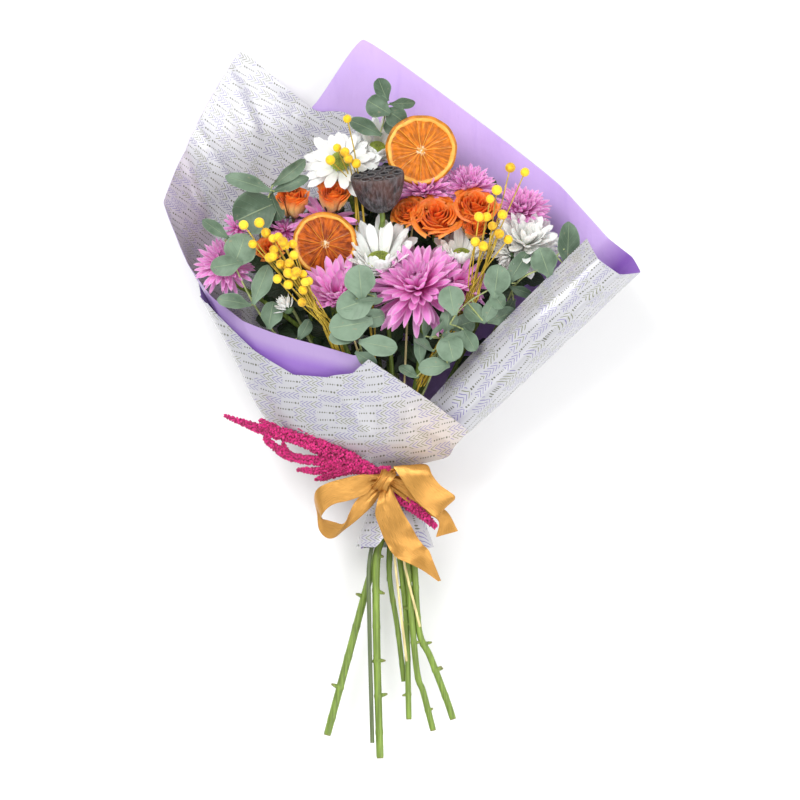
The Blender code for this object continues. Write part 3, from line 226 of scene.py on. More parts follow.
# Layers of petals from the outside in: how many, rise in degrees, reach, and curl
PETAL_LAYERS = {
    "full": [
        (19, -8, 0.96, -14), (19, 3, 1.0, -8), (18, 13, 1.0, 0), (18, 23, 0.97, 5),
        (17, 33, 0.92, 8), (15, 44, 0.84, 10), (13, 55, 0.7, 10), (11, 66, 0.56, 12),
        (8, 76, 0.44, 12), (5, 86, 0.34, 6)],
    "open": [
        (15, -2, 0.98, -10), (15, 10, 1.0, -4), (13, 23, 0.94, 4), (11, 37, 0.78, 12),
        (9, 50, 0.52, 20)],
    "upright": [
        (16, 6, 1.0, -8), (16, 18, 1.0, -2), (15, 31, 0.98, 4), (13, 44, 0.86, 8),
        (10, 57, 0.66, 12), (7, 70, 0.46, 14)],
    "small": [
        (11, 0, 1.0, -6), (11, 16, 0.95, 4), (9, 34, 0.85, 8), (7, 54, 0.68, 12),
        (5, 74, 0.5, 12)],
    "daisy": [(18, -2, 1.0, -8), (17, 9, 0.97, -2), (13, 21, 0.84, 4)],
    "fan": [(16, 14, 1.0, -6), (16, 28, 1.0, -2), (15, 42, 1.0, 0), (13, 54, 0.94, 2)],
    "peony": [
        (16, -2, 1.0, -8), (16, 9, 1.0, -4), (15, 20, 0.98, 2), (13, 32, 0.92, 6),
        (11, 45, 0.8, 8), (9, 58, 0.66, 10), (6, 72, 0.5, 8)],
}

# Lotus pod: middle of its flat top, the way that the top faces, and its size
POD_TOP = np.array((-20.0, 201.0, 113.0))
POD_AXIS = Vector((-0.10, 0.93, 0.33)).normalized()
POD_RADIUS = 24.0
POD_LENGTH = 36.0
POD_PITS = [
    (-0.46, 0.58), (0.0, 0.62), (0.46, 0.58), (-0.74, 0.04), (-0.25, 0.04), (0.25, 0.04),
    (0.74, 0.04), (-0.46, -0.52), (0.0, -0.56), (0.46, -0.52)
]
# A pit is a little longer than wide; the cup's radius and height are shares of its size
POD_PIT_LONG = 1.3
POD_PROFILE = [
    (0.12, -1.0), (0.24, -0.975), (0.37, -0.93), (0.50, -0.86), (0.62, -0.77), (0.725, -0.66),
    (0.81, -0.54), (0.875, -0.42), (0.925, -0.31), (0.965, -0.21), (0.99, -0.13), (1.0, -0.07),
    (0.99, -0.02), (0.96, 0.005), (0.91, 0.0), (0.87, -0.02)
]

# Stems: slot in the tie, the way from the cut end, the way above the tie, each head with
# its own way, and the radii low, in the tie and above
LOW, MID, NEAR = -7.9, -2.7, 2.7
STEM_RUNS = {
    "stem_pink_left": (
        (-7.2, LOW),
        [(-24, -160, 24), (-16, -120, 28)],
        [(-30, -20, 22), (-75, 50, 26)],
        [("pink_bloom_4", [(-125, 90, 44)]), ("pink_bloom_9", [(-90, 110, 36)])],
        (2.4, 2.3, 2.2)),
    "stem_white_back": (
        (-2.4, LOW),
        [(-10, -165, 24), (-8, -120, 28)],
        [(-12, -20, 20), (-30, 120, 18)],
        [("white_bloom_1", [(-44, 180, 40)]), ("white_bloom_2", [(-24, 185, 28)])],
        (2.4, 2.3, 2.0)),
    "stem_pink_right": (
        (7.2, LOW),
        [(12, -165, 24), (6, -120, 28)],
        [(14, -20, 20), (42, 100, 20)],
        [("pink_bloom_7", [(60, 160, 34)]), ("pink_bloom_6", [(26, 150, 34)]),
         ("pink_bloom_8", [(85, 145, 36)])],
        (2.4, 2.3, 2.2)),
    "stem_rose_left": (
        (-5.6, MID),
        [(-66, -304, 30), (-48, -237, 32), (-30, -170, 34), (-17, -125, 37)],
        [(-28, -20, 36), (-70, 80, 44)],
        [("rose_1", [(-86, 130, 58)]), ("rose_7", [(-100, 110, 60)]),
         ("rose_2", [(-52, 135, 62)])],
        (3.5, 2.6, 1.9)),
    "stem_rose_right": (
        (5.6, MID),
        [(8, -168, 30), (4, -125, 34)],
        [(12, -20, 38), (30, 100, 50)],
        [("rose_3", [(34, 135, 70)]), ("rose_4", [(12, 130, 62), (5, 160, 78)]),
         ("rose_5", [(50, 135, 62)]), ("rose_6", [(42, 136, 72)])],
        (2.6, 2.6, 1.9)),
    "stem_pink_middle": (
        (-5.6, NEAR),
        [(-18, -324, 44), (-21, -220, 45), (-21, -145, 45), (-14, -115, 44)],
        [(-22, -20, 52), (-50, 50, 62)],
        [("pink_bloom_3", [(-60, 80, 74)]), ("pink_bloom_5", [(-72, 115, 56)])],
        (3.5, 2.6, 2.2)),
    "stem_white_middle": (
        (0, NEAR),
        [(8, -289, 41.5), (5.4, -195, 41), (-3, -120, 40.4)],
        [(-4, -20, 52), (-10, 60, 60)],
        [("white_bloom_3", [(-15, 100, 72)])],
        (2.7, 2.6, 2.1)),
    "stem_pink_front": (
        (5.6, NEAR),
        [(30, -299, 46), (21, -264, 46), (15, -243, 46), (7, -157, 46), (3, -115, 44)],
        [(8, -20, 52), (18, 40, 64)],
        [("pink_bloom_1", [(20, 70, 78)]), ("pink_bloom_2", [(42, 80, 60)])],
        (2.9, 2.6, 2.2)),
    "stem_white_right": (
        (11, NEAR),
        [(48, -289, 42), (42, -271, 42), (27.5, -233, 43), (17, -208, 43), (13, -150, 43),
         (9, -115, 43)],
        [(26, -20, 48), (68, 65, 62)],
        [("white_bloom_5", [(92, 110, 70)]), ("white_bloom_4", [(66, 108, 66)])],
        (3.1, 2.6, 2.1)),
}

# Eucalyptus sprays: slot, stem radius, way below and above the tie, how deep the green
# is, and each leaf's middle (across and down the picture in steps of 0.9 mm, and height),
# length, width, turn in degrees, how far it tips over, and its own shade
SPRAYS = {
    "eucalyptus_1": (
        (2.9, -7.9),
        2.0,
        [(2, -150, 26), (-2, -100, 30)],
        [(-2, -20, 20), (-4, 100, 12), (-2, 200, 24), (-4, 246, 40), (-14, 262, 84)],
        0.15,
        [(383, 92, 100, 24, 17, 112, 20, 0.1), (379, 109, 97, 26, 24, 150, 5, 0.5),
         (402, 105, 99, 25, 11, 2, 30, 0.0), (395, 117, 94, 24, 22, -35, 10, 0.2),
         (366, 129, 90, 35, 16, 155, 15, 0.2), (392, 126, 88, 18, 16, -80, 25, 0.1)]),
    "eucalyptus_2": (
        (-10.3, -2.7),
        2.0,
        [(-26, -135, 28), (-18, -100, 35)],
        [(-40, -20, 36), (-85, 60, 42), (-122, 130, 56), (-124, 162, 76), (-115, 188, 92)],
        0.15,
        [(250, 185, 95, 48, 17, 162, 12, 0.7), (289, 174, 96, 42, 14, 38, 25, 0.7),
         (291, 186, 93, 38, 13, 22, -20, 0.2), (258, 212, 88, 48, 44, 205, 5, 0.0),
         (277, 206, 90, 30, 16, -70, 55, 0.1)]),
    "eucalyptus_3": (
        (-10.3, 2.7),
        2.0,
        [(-25, -310, 46), (-28, -186, 46), (-27.5, -145, 46), (-19.5, -112, 44)],
        [(-18, -54, 44), (-44, -20, 54), (-86, 30, 74), (-122, 72, 98), (-145, 114, 110),
         (-156, 142, 112)],
        0.5,
        [(218, 231, 116, 32, 13, 145, 10, 0.0), (241, 253, 117, 36, 32, 70, 5, 0.9),
         (229, 266, 118, 32, 21, 190, -8, 0.6), (262, 286, 116, 41, 19, 68, 15, 0.5),
         (236, 303, 113, 34, 15, 170, 20, 0.4), (272, 316, 110, 27, 21, 80, 20, 0.3),
         (304, 330, 106, 24, 12, 60, 35, 0.2)]),
    "eucalyptus_4": (
        (0.0, 7.0),
        1.4,
        [(-4, -102, 47.4)],
        [(-12, -25, 62), (-26, 12, 82), (-36, 52, 116), (-35, 84, 132), (-34, 98, 136)],
        0.9,
        [(361, 284, 141, 34, 31, 96, -6, 0.8), (358, 304, 136, 41, 31, 200, 8, 0.9),
         (352, 325, 131, 43, 31, 190, -8, 0.8), (378, 345, 128, 38, 21, -10, 10, 1.0),
         (369, 300, 139, 29, 7, 2, 70, 1.0), (347, 337, 124, 34, 18, 186, 25, 0.5),
         (372, 318, 127, 26, 18, 12, 30, 0.3), (366, 358, 116, 24, 15, -30, 20, 0.3)]),
    "eucalyptus_5": (
        (7.6, 6.9),
        1.2,
        [(5, -102, 47.2)],
        [(8, -20, 60), (22, 8, 76), (36, 42, 100), (46, 70, 122), (60, 86, 124), (80, 98, 124)],
        0.7,
        [(451, 302, 140, 29, 26, 100, -4, 0.8), (495, 283, 129, 33, 27, 82, 6, 0.3),
         (496, 300, 128, 20, 17, -55, 30, 0.4), (474, 315, 126, 24, 19, 140, 20, 0.2),
         (487, 312, 122, 26, 16, 65, 25, 0.6), (500, 317, 112, 30, 18, 20, 20, 0.0),
         (447, 322, 122, 24, 18, 80, 25, 0.4), (425, 326, 122, 25, 9, 82, 50, 0.9),
         (436, 330, 129, 23, 7, 52, 65, 1.0), (451, 336, 127, 24, 7, 18, 65, 1.0),
         (449, 346, 123, 30, 27, -75, 0, 0.8), (468, 339, 118, 26, 16, -60, 25, 0.4),
         (424, 346, 122, 23, 8, 148, 60, 0.9), (419, 350, 113, 36, 12, 95, 35, 0.4),
         (434, 367, 114, 31, 18, 185, 15, 0.5), (409, 372, 110, 22, 11, 150, 30, 0.3),
         (462, 325, 114, 24, 20, 20, 15, 0.0), (444, 358, 110, 24, 14, 30, 15, 0.1)]),
    "eucalyptus_6": (
        (10.4, -2.7),
        2.0,
        [(9, -118, 36)],
        [(28, -20, 38), (76, 46, 50), (94, 82, 84), (106, 106, 112), (128, 118, 120),
         (146, 134, 120)],
        0.25,
        [(516, 269, 120, 36, 19, 58, 20, 0.1), (543, 264, 123, 30, 27, 110, -5, 0.5),
         (566, 247, 120, 45, 23, 88, 15, 0.1), (520, 291, 112, 24, 11, -20, 30, 0.0),
         (506, 312, 104, 30, 20, -120, 20, 0.0)]),
}

# Bunches of yellow balls: slot, way, where the stalks part, and each ball's middle
BALL_RADIUS = 4.5
BUNCHES = {
    "yellow_balls_left": (
        (-7.6, 6.8),
        [(-12, -58, 48), (-26, -30, 62), (-46, 20, 84), (-58, 46, 98)],
        [(-62, 62, 112), (-74, 84, 126)],
        [(-139, 155, 124), (-125, 157, 126), (-131, 138, 124), (-113, 143, 128), (-95, 138, 130),
         (-116, 126, 124), (-98, 121, 136), (-94, 110, 134), (-84, 104, 138), (-87, 86, 136),
         (-108, 144, 131), (-104, 140, 134), (-102, 137, 130), (-113, 127, 130),
         (-106, 120, 132), (-100, 119, 130), (-92, 113, 139), (-86, 111, 134), (-109, 107, 128),
         (-99, 102, 130), (-81, 105, 132), (-86, 97, 134), (-112, 133, 127), (-94, 128, 131),
         (-99, 112, 137), (-119, 148, 124)]),
    "yellow_balls_right": (
        (5.2, 6.8),
        [(4, -30, 60), (18, 15, 78), (34, 50, 94)],
        [(60, 84, 108), (76, 120, 112)],
        [(98, 206, 124), (111, 202, 122), (86, 186, 126), (80, 178, 130), (91, 164, 128),
         (96, 142, 128), (67, 140, 124), (70, 162, 132), (77, 162, 128), (82, 154, 130),
         (88, 147, 132), (74, 136, 128)]),
    "yellow_balls_top": (
        (-2.6, 6.8),
        [(-14, -20, 58), (-26, 60, 76), (-37, 130, 84)],
        [(-40, 182, 86), (-46, 205, 102)],
        [(-47, 250, 112), (-56, 224, 114), (-62, 213, 118), (-46, 214, 120), (-49, 220, 120),
         (-39, 210, 116)]),
}

# Amaranthus: lines through the picture with height, and the thickness at each point
TASSELS = [
    [(225, 415, 82, 3), (237, 419.5, 82, 6), (254, 426, 81, 9), (272, 431, 80, 13),
     (300, 438, 77, 15), (323, 447, 75, 19), (346, 458, 74, 20), (364, 467, 73, 15),
     (375, 471, 70, 10), (384, 478, 63.5, 8)],
    [(260, 419, 84, 3), (268, 423, 83, 6), (278, 429, 82, 8)],
    [(299, 427, 82, 3), (312, 434, 80, 7), (326, 443, 78, 9)],
    [(270, 431, 80, 6), (267, 438, 80, 7), (275, 446, 79, 8), (288, 455, 77, 9),
     (306, 459, 75, 10), (325, 461, 74, 10), (345, 464, 73, 9)],
    [(283, 440, 80, 3), (285, 448, 79, 6), (292, 455, 77, 6)],
    [(297, 469, 76, 3), (308, 470, 75, 7), (321, 470, 74, 8), (334, 466, 73, 8),
     (350, 465, 72, 8)],
    [(315, 479, 76, 3), (324, 477, 75, 7), (340, 472, 74, 8), (356, 469, 73, 9),
     (374, 472, 72, 8)],
    [(377, 472, 73, 8), (384, 469, 76, 8), (391, 468, 76, 5)],
    [(384, 478, 63.5, 8), (388, 484, 63, 8), (394, 490, 63.5, 10), (400, 497, 65, 12),
     (410, 504, 68, 13), (424, 515, 70, 10), (436, 527, 70, 5)],
]

# Straws: points from inside the tie to the cut end
STRAWS = {
    "straw_1": [(-6, -102, 48), (-4.5, -145, 52), (6, -236, 52)],
    "straw_2": [(3.4, -110, 51), (3.6, -145, 50), (18, -205, 51)],
    "straw_3": [(11.4, -104, 36.4), (15, -151, 36), (13, -197, 35)],
}

# Ribbon: width and thickness, then the band round the tie: its width as gathered, its half
# widths and how far its middle is above the tie's
RIBBON_WIDTH = 25.0
RIBBON_THICK = 0.4
BAND_WIDTH = 13.0
BAND_RX = 24.6
BAND_RZ = 24.0
BAND_RISE = 4.2
# Where the knot sits in the picture, and how soon the pleats at a run's ends open out
KNOT = (384, 480, 77.5)
PLEAT_RUN = 9.0
# Rows across each run of the ribbon, as two edges through the picture with their heights
RIBBON_RUNS = {
    "left loop": [
        (382, 473, 77, 381, 486, 77), (372, 474, 80, 372, 488, 79), (361, 474, 85, 364, 494, 81),
        (343, 478, 90, 350, 499, 84), (327, 482, 92, 335, 503, 86), (318, 488, 89, 325, 510, 86),
        (315, 499, 81, 321, 515, 82), (317, 513, 73, 322, 518, 78), (319, 529, 68, 327, 519, 76),
        (327, 538, 66, 335, 521, 75), (337, 537, 67, 343, 522, 76), (347, 528, 69, 348, 513, 77),
        (360, 516, 71, 355, 502, 78), (374, 503, 73, 366, 491, 78), (383, 489, 75, 378, 483, 77)],
    "right loop": [
        (384, 476, 77, 388, 470, 78), (392, 474, 79, 398, 465, 79), (396, 469, 80, 413, 464, 80),
        (393, 464.5, 83, 427, 464.5, 84), (399, 474, 87, 432, 474, 88),
        (407, 487, 87, 440, 484, 88), (418, 501, 84, 449, 491, 85), (429, 511, 80, 455, 496, 81),
        (437, 518, 76, 453, 501, 76), (432, 514, 72.5, 444, 502, 72.5),
        (418, 503, 72, 429, 492, 72), (404, 493, 74, 413, 484, 75), (394, 486, 76, 398, 478, 77),
        (386, 481, 77, 389, 475, 77)],
    "front tail": [
        (390, 483, 78, 381, 488, 78), (395, 495, 82, 377, 503, 82),
        (403, 511, 84, 375.5, 513, 80), (410.5, 523, 80, 379.5, 527, 77),
        (416, 534, 74, 386, 542, 75), (422, 543, 70, 396, 556, 77), (429, 550, 70, 410, 563, 71),
        (434, 562, 68, 423, 570, 69), (441, 580, 67, 438, 580.5, 67)],
    "back tail": [
        (391, 479, 74, 386, 485, 74), (425, 500, 70, 418, 509, 70), (446, 510, 69, 438, 520, 69),
        (458, 530, 67, 436, 537, 66)],
}

# Stage: each light's name, place, size and power, then the sky's strength, the camera's lens
# and sensor in millimetres, and the height in metres where it sees the view's width
LIGHTS = [
    ("key_light", (-0.9, 1.1, 2.0), 1.5, 41.0),
    ("fill_light", (1.3, -0.6, 1.8), 1.8, 27.0),
    ("low_light", (0.2, -1.6, 1.2), 1.2, 6.0),
]
SKY_STRENGTH = 0.64
LENS = 250.0
SENSOR = 36.0
SEEN_PLANE = 0.06

# The dark leaves on the stems, near black as painted shade of the deep wrap: how far up, out and
# high in the wrap they may be
LEAVES_FROM = 14
LEAVES_WITHIN = 112
LEAVES_BELOW = 108

# Colours, as linear values: the name and the use that a user reads, and the value
COLOURS = {
    "lilac": ("Lilac paper", "The plain side of both sheets", (0.62, 0.44, 0.84)),
    # Lilac shade: painted shade, mixed into the plain side where noise places creases
    "lilac_deep": ("Lilac shade", "The plain side where the paper is creased", (0.36, 0.2, 0.7)),
    "paper_white": ("White paper", "The ground of the patterned side", (0.76, 0.76, 0.81)),
    "sprig": ("Sprigs", "The leafy strokes of the paper's pattern", (0.15, 0.125, 0.32)),
    "sprig_olive": ("Olive strokes", "Every other stroke, and the dots", (0.135, 0.15, 0.055)),
    "satin": ("Ribbon", "The satin ribbon", (0.55, 0.27, 0.055)),
    "pink_tip": ("Pink tips", "Outer ends of the pink petals", (1.0, 0.36, 0.8)),
    "pink_base": ("Pink base", "Where the pink petals meet", (0.92, 0.085, 0.48)),
    "white_petal": ("White petals", "The daisy petals", (0.96, 0.95, 0.92)),
    "lime": ("Lime centres", "The middles of the daisies", (0.30, 0.37, 0.03)),
    "rose": ("Roses", "The rose petals", (1.0, 0.185, 0.006)),
    "rose_base": ("Rose base", "The peach yellow foot of the rose petals", (0.98, 0.62, 0.24)),
    "flesh": ("Orange flesh", "The dried flesh of the slices", (0.7, 0.185, 0.004)),
    "rind": ("Orange rind", "The rim of the slices", (0.66, 0.23, 0.015)),
    "pith": ("Orange pith", "The pale ring and the membranes of the slices", (0.9, 0.53, 0.1)),
    "pod": ("Lotus pod", "The dried pod", (0.04, 0.038, 0.042)),
    "leaf": ("Eucalyptus leaves", "The grey green leaves", (0.042, 0.082, 0.042)),
    "leaf_bloom": ("Leaf bloom", "The pale waxy bloom on the leaves", (0.18, 0.265, 0.18)),
    "ball": ("Yellow balls", "The small felted balls", (0.94, 0.6, 0.004)),
    "amaranth": ("Amaranthus", "The magenta tassels", (0.66, 0.002, 0.19)),
    "stem": ("Stems", "The green stems", (0.18, 0.27, 0.04)),
    "straw": ("Straw", "Dry straws, sticks and leaf scars", (0.72, 0.60, 0.28)),
    "pink_edge": ("Pink edge", "The pale margin of the pink petals", (1.0, 0.68, 0.93)),
    # Rose edge: a painted highlight on the curled rims of the rose petals
    "rose_edge": ("Rose edge", "The bright rims of the rose petals", (1.0, 0.36, 0.03)),
    # Foliage: the leaves' own dark green, made near black as painted shade of the deep wrap
    "foliage": ("Foliage", "The dark leaves on the flower stems", (0.022, 0.05, 0.016)),
    "floor": ("Floor", "The pale floor", (0.90, 0.90, 0.90)),
}


class BouquetColours(bpy.types.PropertyGroup):
    """Colours of the bouquet."""

    __annotations__ = {key: bpy.props.FloatVectorProperty(
        name=name, description=told, subtype="COLOR", size=3, min=0, max=1, default=value)
        for key, (name, told, value) in COLOURS.items()}


class BouquetSizes(bpy.types.PropertyGroup):
    """Sizes that a user may want to change."""

    crinkle: bpy.props.FloatProperty(
        name="Paper crinkle", description="How far creases move the paper",
        unit="LENGTH", min=0, max=0.004, default=0.0012)
    petal_width: bpy.props.FloatProperty(
        name="Pink petal width", description="Share of the head's radius",
        subtype="FACTOR", min=0.1, max=0.4, default=0.152)
    white_width: bpy.props.FloatProperty(
        name="White petal width", description="Share of the head's radius",
        subtype="FACTOR", min=0.1, max=0.5, default=0.235)
    knob: bpy.props.FloatProperty(
        name="Tassel knob", description="Radius of the knobs on the tassels",
        unit="LENGTH", min=0.0005, max=0.004, default=0.0012)
    view_width: bpy.props.FloatProperty(
        name="View width", description="How much of the bouquet's plane the camera sees",
        unit="LENGTH", min=0.3, max=2, default=0.72)


def spline(points, t, pull=0.5):
    """Point on a smooth curve through the points, t from 0 to the last one's number."""
    last = len(points) - 1
    i = min(int(t), last - 1)
    f = t - i
    p1 = points[i]
    p2 = points[i + 1]
    before = points[i - 1] if i > 0 else 2 * p1 - p2
    after = points[i + 2] if i + 2 <= last else 2 * p2 - p1
    m1 = (p2 - before) * pull
    m2 = (after - p1) * pull
    f2 = f * f
    f3 = f2 * f
    return (p1 * (2 * f3 - 3 * f2 + 1) + m1 * (f3 - 2 * f2 + f)
            + p2 * (3 * f2 - 2 * f3) + m2 * (f3 - f2))


def seen(across, down, high):
    """A place from where the picture shows it, in steps, and its height."""
    return np.array(((across - ZERO[0]) * STEP, (ZERO[1] - down) * STEP, high))


def picture(place, up=0.0):
    """Where the picture shows a place, moved up by some millimetres, and its height."""
    return place[0] / STEP + ZERO[0], ZERO[1] - (place[1] + up) / STEP, place[2]


def curve(points, step):
    """A smooth curve through given points, with a point about every step."""
    points = [np.array(p, float) for p in points]
    made = []
    for i in range(len(points) - 1):
        count = max(1, round(np.linalg.norm(points[i + 1] - points[i]) / step))
        made += [spline(points, i + k / count) for k in range(count)]
    made.append(points[-1])
    return np.array(made)


def facing_turn(facing):
    """The turn that takes +Z to the way a head faces."""
    return np.array(Vector(facing).normalized().to_track_quat("Z", "Y").to_matrix())


def unit(vector):
    """The vector at length one."""
    return vector / max(np.linalg.norm(vector), 1e-9)


def toned(colour, share, lift=0.0):
    """A colour made darker or lighter, and kept at one or less."""
    return tuple(min(1.0, share * c + lift) for c in colour)


def draws_for(name):
    """The random draws of one piece, which no other piece changes."""
    return random.Random(SEED + sum(map(ord, name)))


def lay_mark(mesh, name, values):
    """Let a mesh carry a number on each of its points."""
    mark = mesh.attributes.new(name, "FLOAT", "POINT")
    mark.data.foreach_set("value", values.astype(np.float32))


def lay_map(mesh, name, places):
    """Give a mesh a map of its surface, from a flat place for each of its points."""
    layer = mesh.uv_layers.active or mesh.uv_layers.new()
    layer.name = name
    corners = np.empty(len(mesh.loops), int)
    mesh.loops.foreach_get("vertex_index", corners)
    layer.data.foreach_set("uv", places[corners].ravel())


class Form:
    """Points and faces of a shape that is being put together, with numbers on them."""

    def __init__(self):
        self.points = []
        self.faces = []
        self.finishes = []
        self.marks = {}
        self.count = 0

    def add(self, points, faces, finish=0, **marks):
        """Add a part. Each mark is a number for every point, or one for the part."""
        points = np.asarray(points, float)
        self.points.append(points)
        shift = self.count
        self.faces += [tuple(i + shift for i in face) for face in faces]
        self.finishes += [finish] * len(faces)
        for name in {**self.marks, **marks}:
            rows = self.marks.setdefault(name, [np.zeros(self.count)] if self.count else [])
            rows.append(np.broadcast_to(np.asarray(marks.get(name, 0.0), float), len(points)))
        self.count += len(points)

    def make(self, name, nodes, slot, materials, smooth=40.0):
        """The finished piece, which rides on the bouquet and stands for its nodes."""
        mesh = bpy.data.meshes.new(name)
        places = (np.concatenate(self.points) - ORIGIN) * MM
        mesh.from_pydata(places.tolist(), [], self.faces)
        for material in materials:
            mesh.materials.append(material)
        mesh.polygons.foreach_set("material_index", self.finishes)
        for mark, rows in self.marks.items():
            lay_mark(mesh, mark, np.concatenate(rows))
        mesh.validate()
        piece = bpy.data.objects.new(name, mesh)
        bpy.context.scene.collection.objects.link(piece)
        return take_place(piece, nodes, smooth)


def take_place(piece, nodes, smooth):
    """Smooth a piece, and let it ride on the bouquet in the place of its nodes."""
    piece.data.shade_smooth()
    piece.data.set_sharp_from_angle(angle=math.radians(smooth))
    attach(piece, "root")
    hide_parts(*nodes)
    return piece


def primitive(add, **settings):
    """A new primitive, added with everything else deselected."""
    bpy.ops.object.select_all(action="DESELECT")
    add(**settings)
    return bpy.context.object


def apply_modifier(piece, kind, **settings):
    """Add a modifier to a piece, selected alone, and apply it."""
    bpy.ops.object.select_all(action="DESELECT")
    piece.select_set(True)
    bpy.context.view_layer.objects.active = piece
    modifier = piece.modifiers.new(kind.lower(), kind)
    for key, value in settings.items():
        setattr(modifier, key, value)
    bpy.ops.object.modifier_apply(modifier=modifier.name)


def points_of(piece):
    """The points of an object's mesh as an array."""
    values = np.empty(3 * len(piece.data.vertices))
    piece.data.vertices.foreach_get("co", values)
    return values.reshape(-1, 3)


def arrays_of(piece):
    """Points and faces of an object, which is then removed."""
    points = points_of(piece)
    faces = [tuple(face.vertices) for face in piece.data.polygons]
    bpy.data.objects.remove(piece, do_unlink=True)
    return points, faces


def grid_blank(columns, rows):
    """A grid primitive, two wide and two long."""
    return primitive(bpy.ops.mesh.primitive_grid_add, x_subdivisions=columns,
                     y_subdivisions=rows, size=2)


class Pocket:
    """A petal or leaf blank: two grids that share their rim.

    s runs across from -1 to 1, t from 0 at the base to 1 at the tip, and side is 1 on the
    upper face, 0 on the rim and -1 below.
    """

    def __init__(self, columns, rows):
        flat, faces = arrays_of(grid_blank(columns, rows))
        s = flat[:, 0]
        t = (flat[:, 1] + 1) / 2
        rim = (np.abs(s) > 0.999) | (t < 0.001) | (t > 0.999)
        below = np.where(rim, np.arange(len(s)), len(s) + np.cumsum(~rim) - 1)
        self.faces = faces + [tuple(int(below[i]) for i in reversed(face)) for face in faces]
        self.s = np.concatenate([s, s[~rim]])
        self.t = np.concatenate([t, t[~rim]])
        self.side = np.concatenate([np.where(rim, 0.0, 1.0), -np.ones(np.count_nonzero(~rim))])

    def bent(self, length, half, rise, curl, channel=0.0, thick=0.7, twist=0.0, crest=None):
        """Points of a petal that leaves the origin along X and rises toward Z.

        half gives the half width along t, rise and curl are angles in radians, channel
        raises the sides, and crest is an extra height for every point.
        """
        steps = np.linspace(0, 1, 25)
        angles = rise + curl * steps
        run = np.concatenate([[0], np.cumsum(np.cos((angles[1:] + angles[:-1]) / 2))]) / 24
        climb = np.concatenate([[0], np.cumsum(np.sin((angles[1:] + angles[:-1]) / 2))]) / 24
        along = np.interp(self.t, steps, run) * length
        up = np.interp(self.t, steps, climb) * length
        angle = rise + curl * self.t
        wide = half(self.t)
        lift = channel * (self.s ** 2 - 0.4) * wide + self.side * thick / 2
        if crest is not None:
            lift = lift + crest
        across = self.s * wide
        spin = twist * self.t
        side = across * np.cos(spin) - lift * np.sin(spin)
        lift = across * np.sin(spin) + lift * np.cos(spin)
        return np.stack([along - lift * np.sin(angle), side, up + lift * np.cos(angle)], axis=1)

    def add_to(self, form, points, finish=0, **marks):
        """Add a bent copy to a form, marked along and across."""
        form.add(points, self.faces, finish, **{"along": self.t, "across": self.s, **marks})


def petal_shape(base, widest, tip):
    """A half-width rule: narrow base, widest part and a rounded or pointed end."""
    def half(t):
        rise = np.clip(t / widest, 0, 1)
        low = base + (1 - base) * rise * rise * (3 - 2 * rise)
        fall = np.clip((t - widest) / (1 - widest), 0, 1)
        return low * np.maximum((1 - fall ** tip) ** (1 / 2), 0.10)
    return half


def turn_about_z(points, angle):
    """Points turned round the Z axis."""
    c, s = math.cos(angle), math.sin(angle)
    return points @ np.array([[c, s, 0], [-s, c, 0], [0, 0, 1]])


class Head:
    """A flower head's place, and the space round it that other petals keep out of."""

    def __init__(self, centre, radius, facing, space=(0.0, 0.0, 0.0), rank=0):
        self.centre = np.array(centre, float)
        self.radius = radius
        self.turn = facing_turn(facing)
        self.axis = self.turn[:, 2]
        self.space = [share * radius for share in space]
        self.rank = rank

    def place(self, points):
        """Points of the head's own frame, in the bouquet's."""
        return np.asarray(points) @ self.turn.T + self.centre

    def holds(self, points):
        """Which points are inside the space."""
        wide, low, high = self.space
        offset = points - self.centre
        along = offset @ self.axis
        away = np.linalg.norm(offset - along[:, None] * self.axis, axis=1)
        return (along > low) & (along < high) & (away < wide)


def set_out_heads():
    """The head of every rose, slice and bloom, and the pod, with its space."""
    heads = {}
    for name, (centre, radius, facing, *rest) in ROSES.items():
        heads[name] = [Head(centre, radius, facing, (0.85, -0.9, 0.7))]
    for name, (centre, radius, facing, *rest) in SLICES.items():
        heads[name] = [Head(centre, radius, facing, (1.0, -0.1, 0.1))]
    middle = POD_TOP - np.array(POD_AXIS) * 0.4 * POD_LENGTH
    heads["lotus_pod"] = [Head(middle, POD_RADIUS, POD_AXIS, (0.85, -0.7, 0.6))]
    for name, spray in SPRAYS.items():
        heads[name] = [Head(seen(*leaf[:3]), 0.42 * leaf[4], (0, 0, 1), (1.0, -0.3, 2.0))
                       for leaf in spray[-1]]
    blooms = {**PINK_BLOOMS, **WHITE_BLOOMS}
    for rank, name in enumerate(BLOOM_ORDER, 1):
        heads[name] = [Head(centre, length, facing, (0.55, -0.1, 0.35), rank)
                       for centre, length, facing, *rest in blooms[name]]
    return heads


HEADS = set_out_heads()


def clear_of_neighbours(points, owner):
    """Whether a petal keeps out of every space with a lower rank."""
    rank = HEADS[owner][0].rank
    for name, heads in HEADS.items():
        if name != owner and heads[0].rank < rank:
            most = 0.02 if name in SPRAYS else 0.15
            if any(head.holds(points).mean() > most for head in heads):
                return False
    return True


def sign(operation, reflected=False):
    """A Wire's method for one sign of a sum, or for the sign's reflected form."""
    def method(self, other):
        return self.maths(operation, *((other, self) if reflected else (self, other)))
    return method


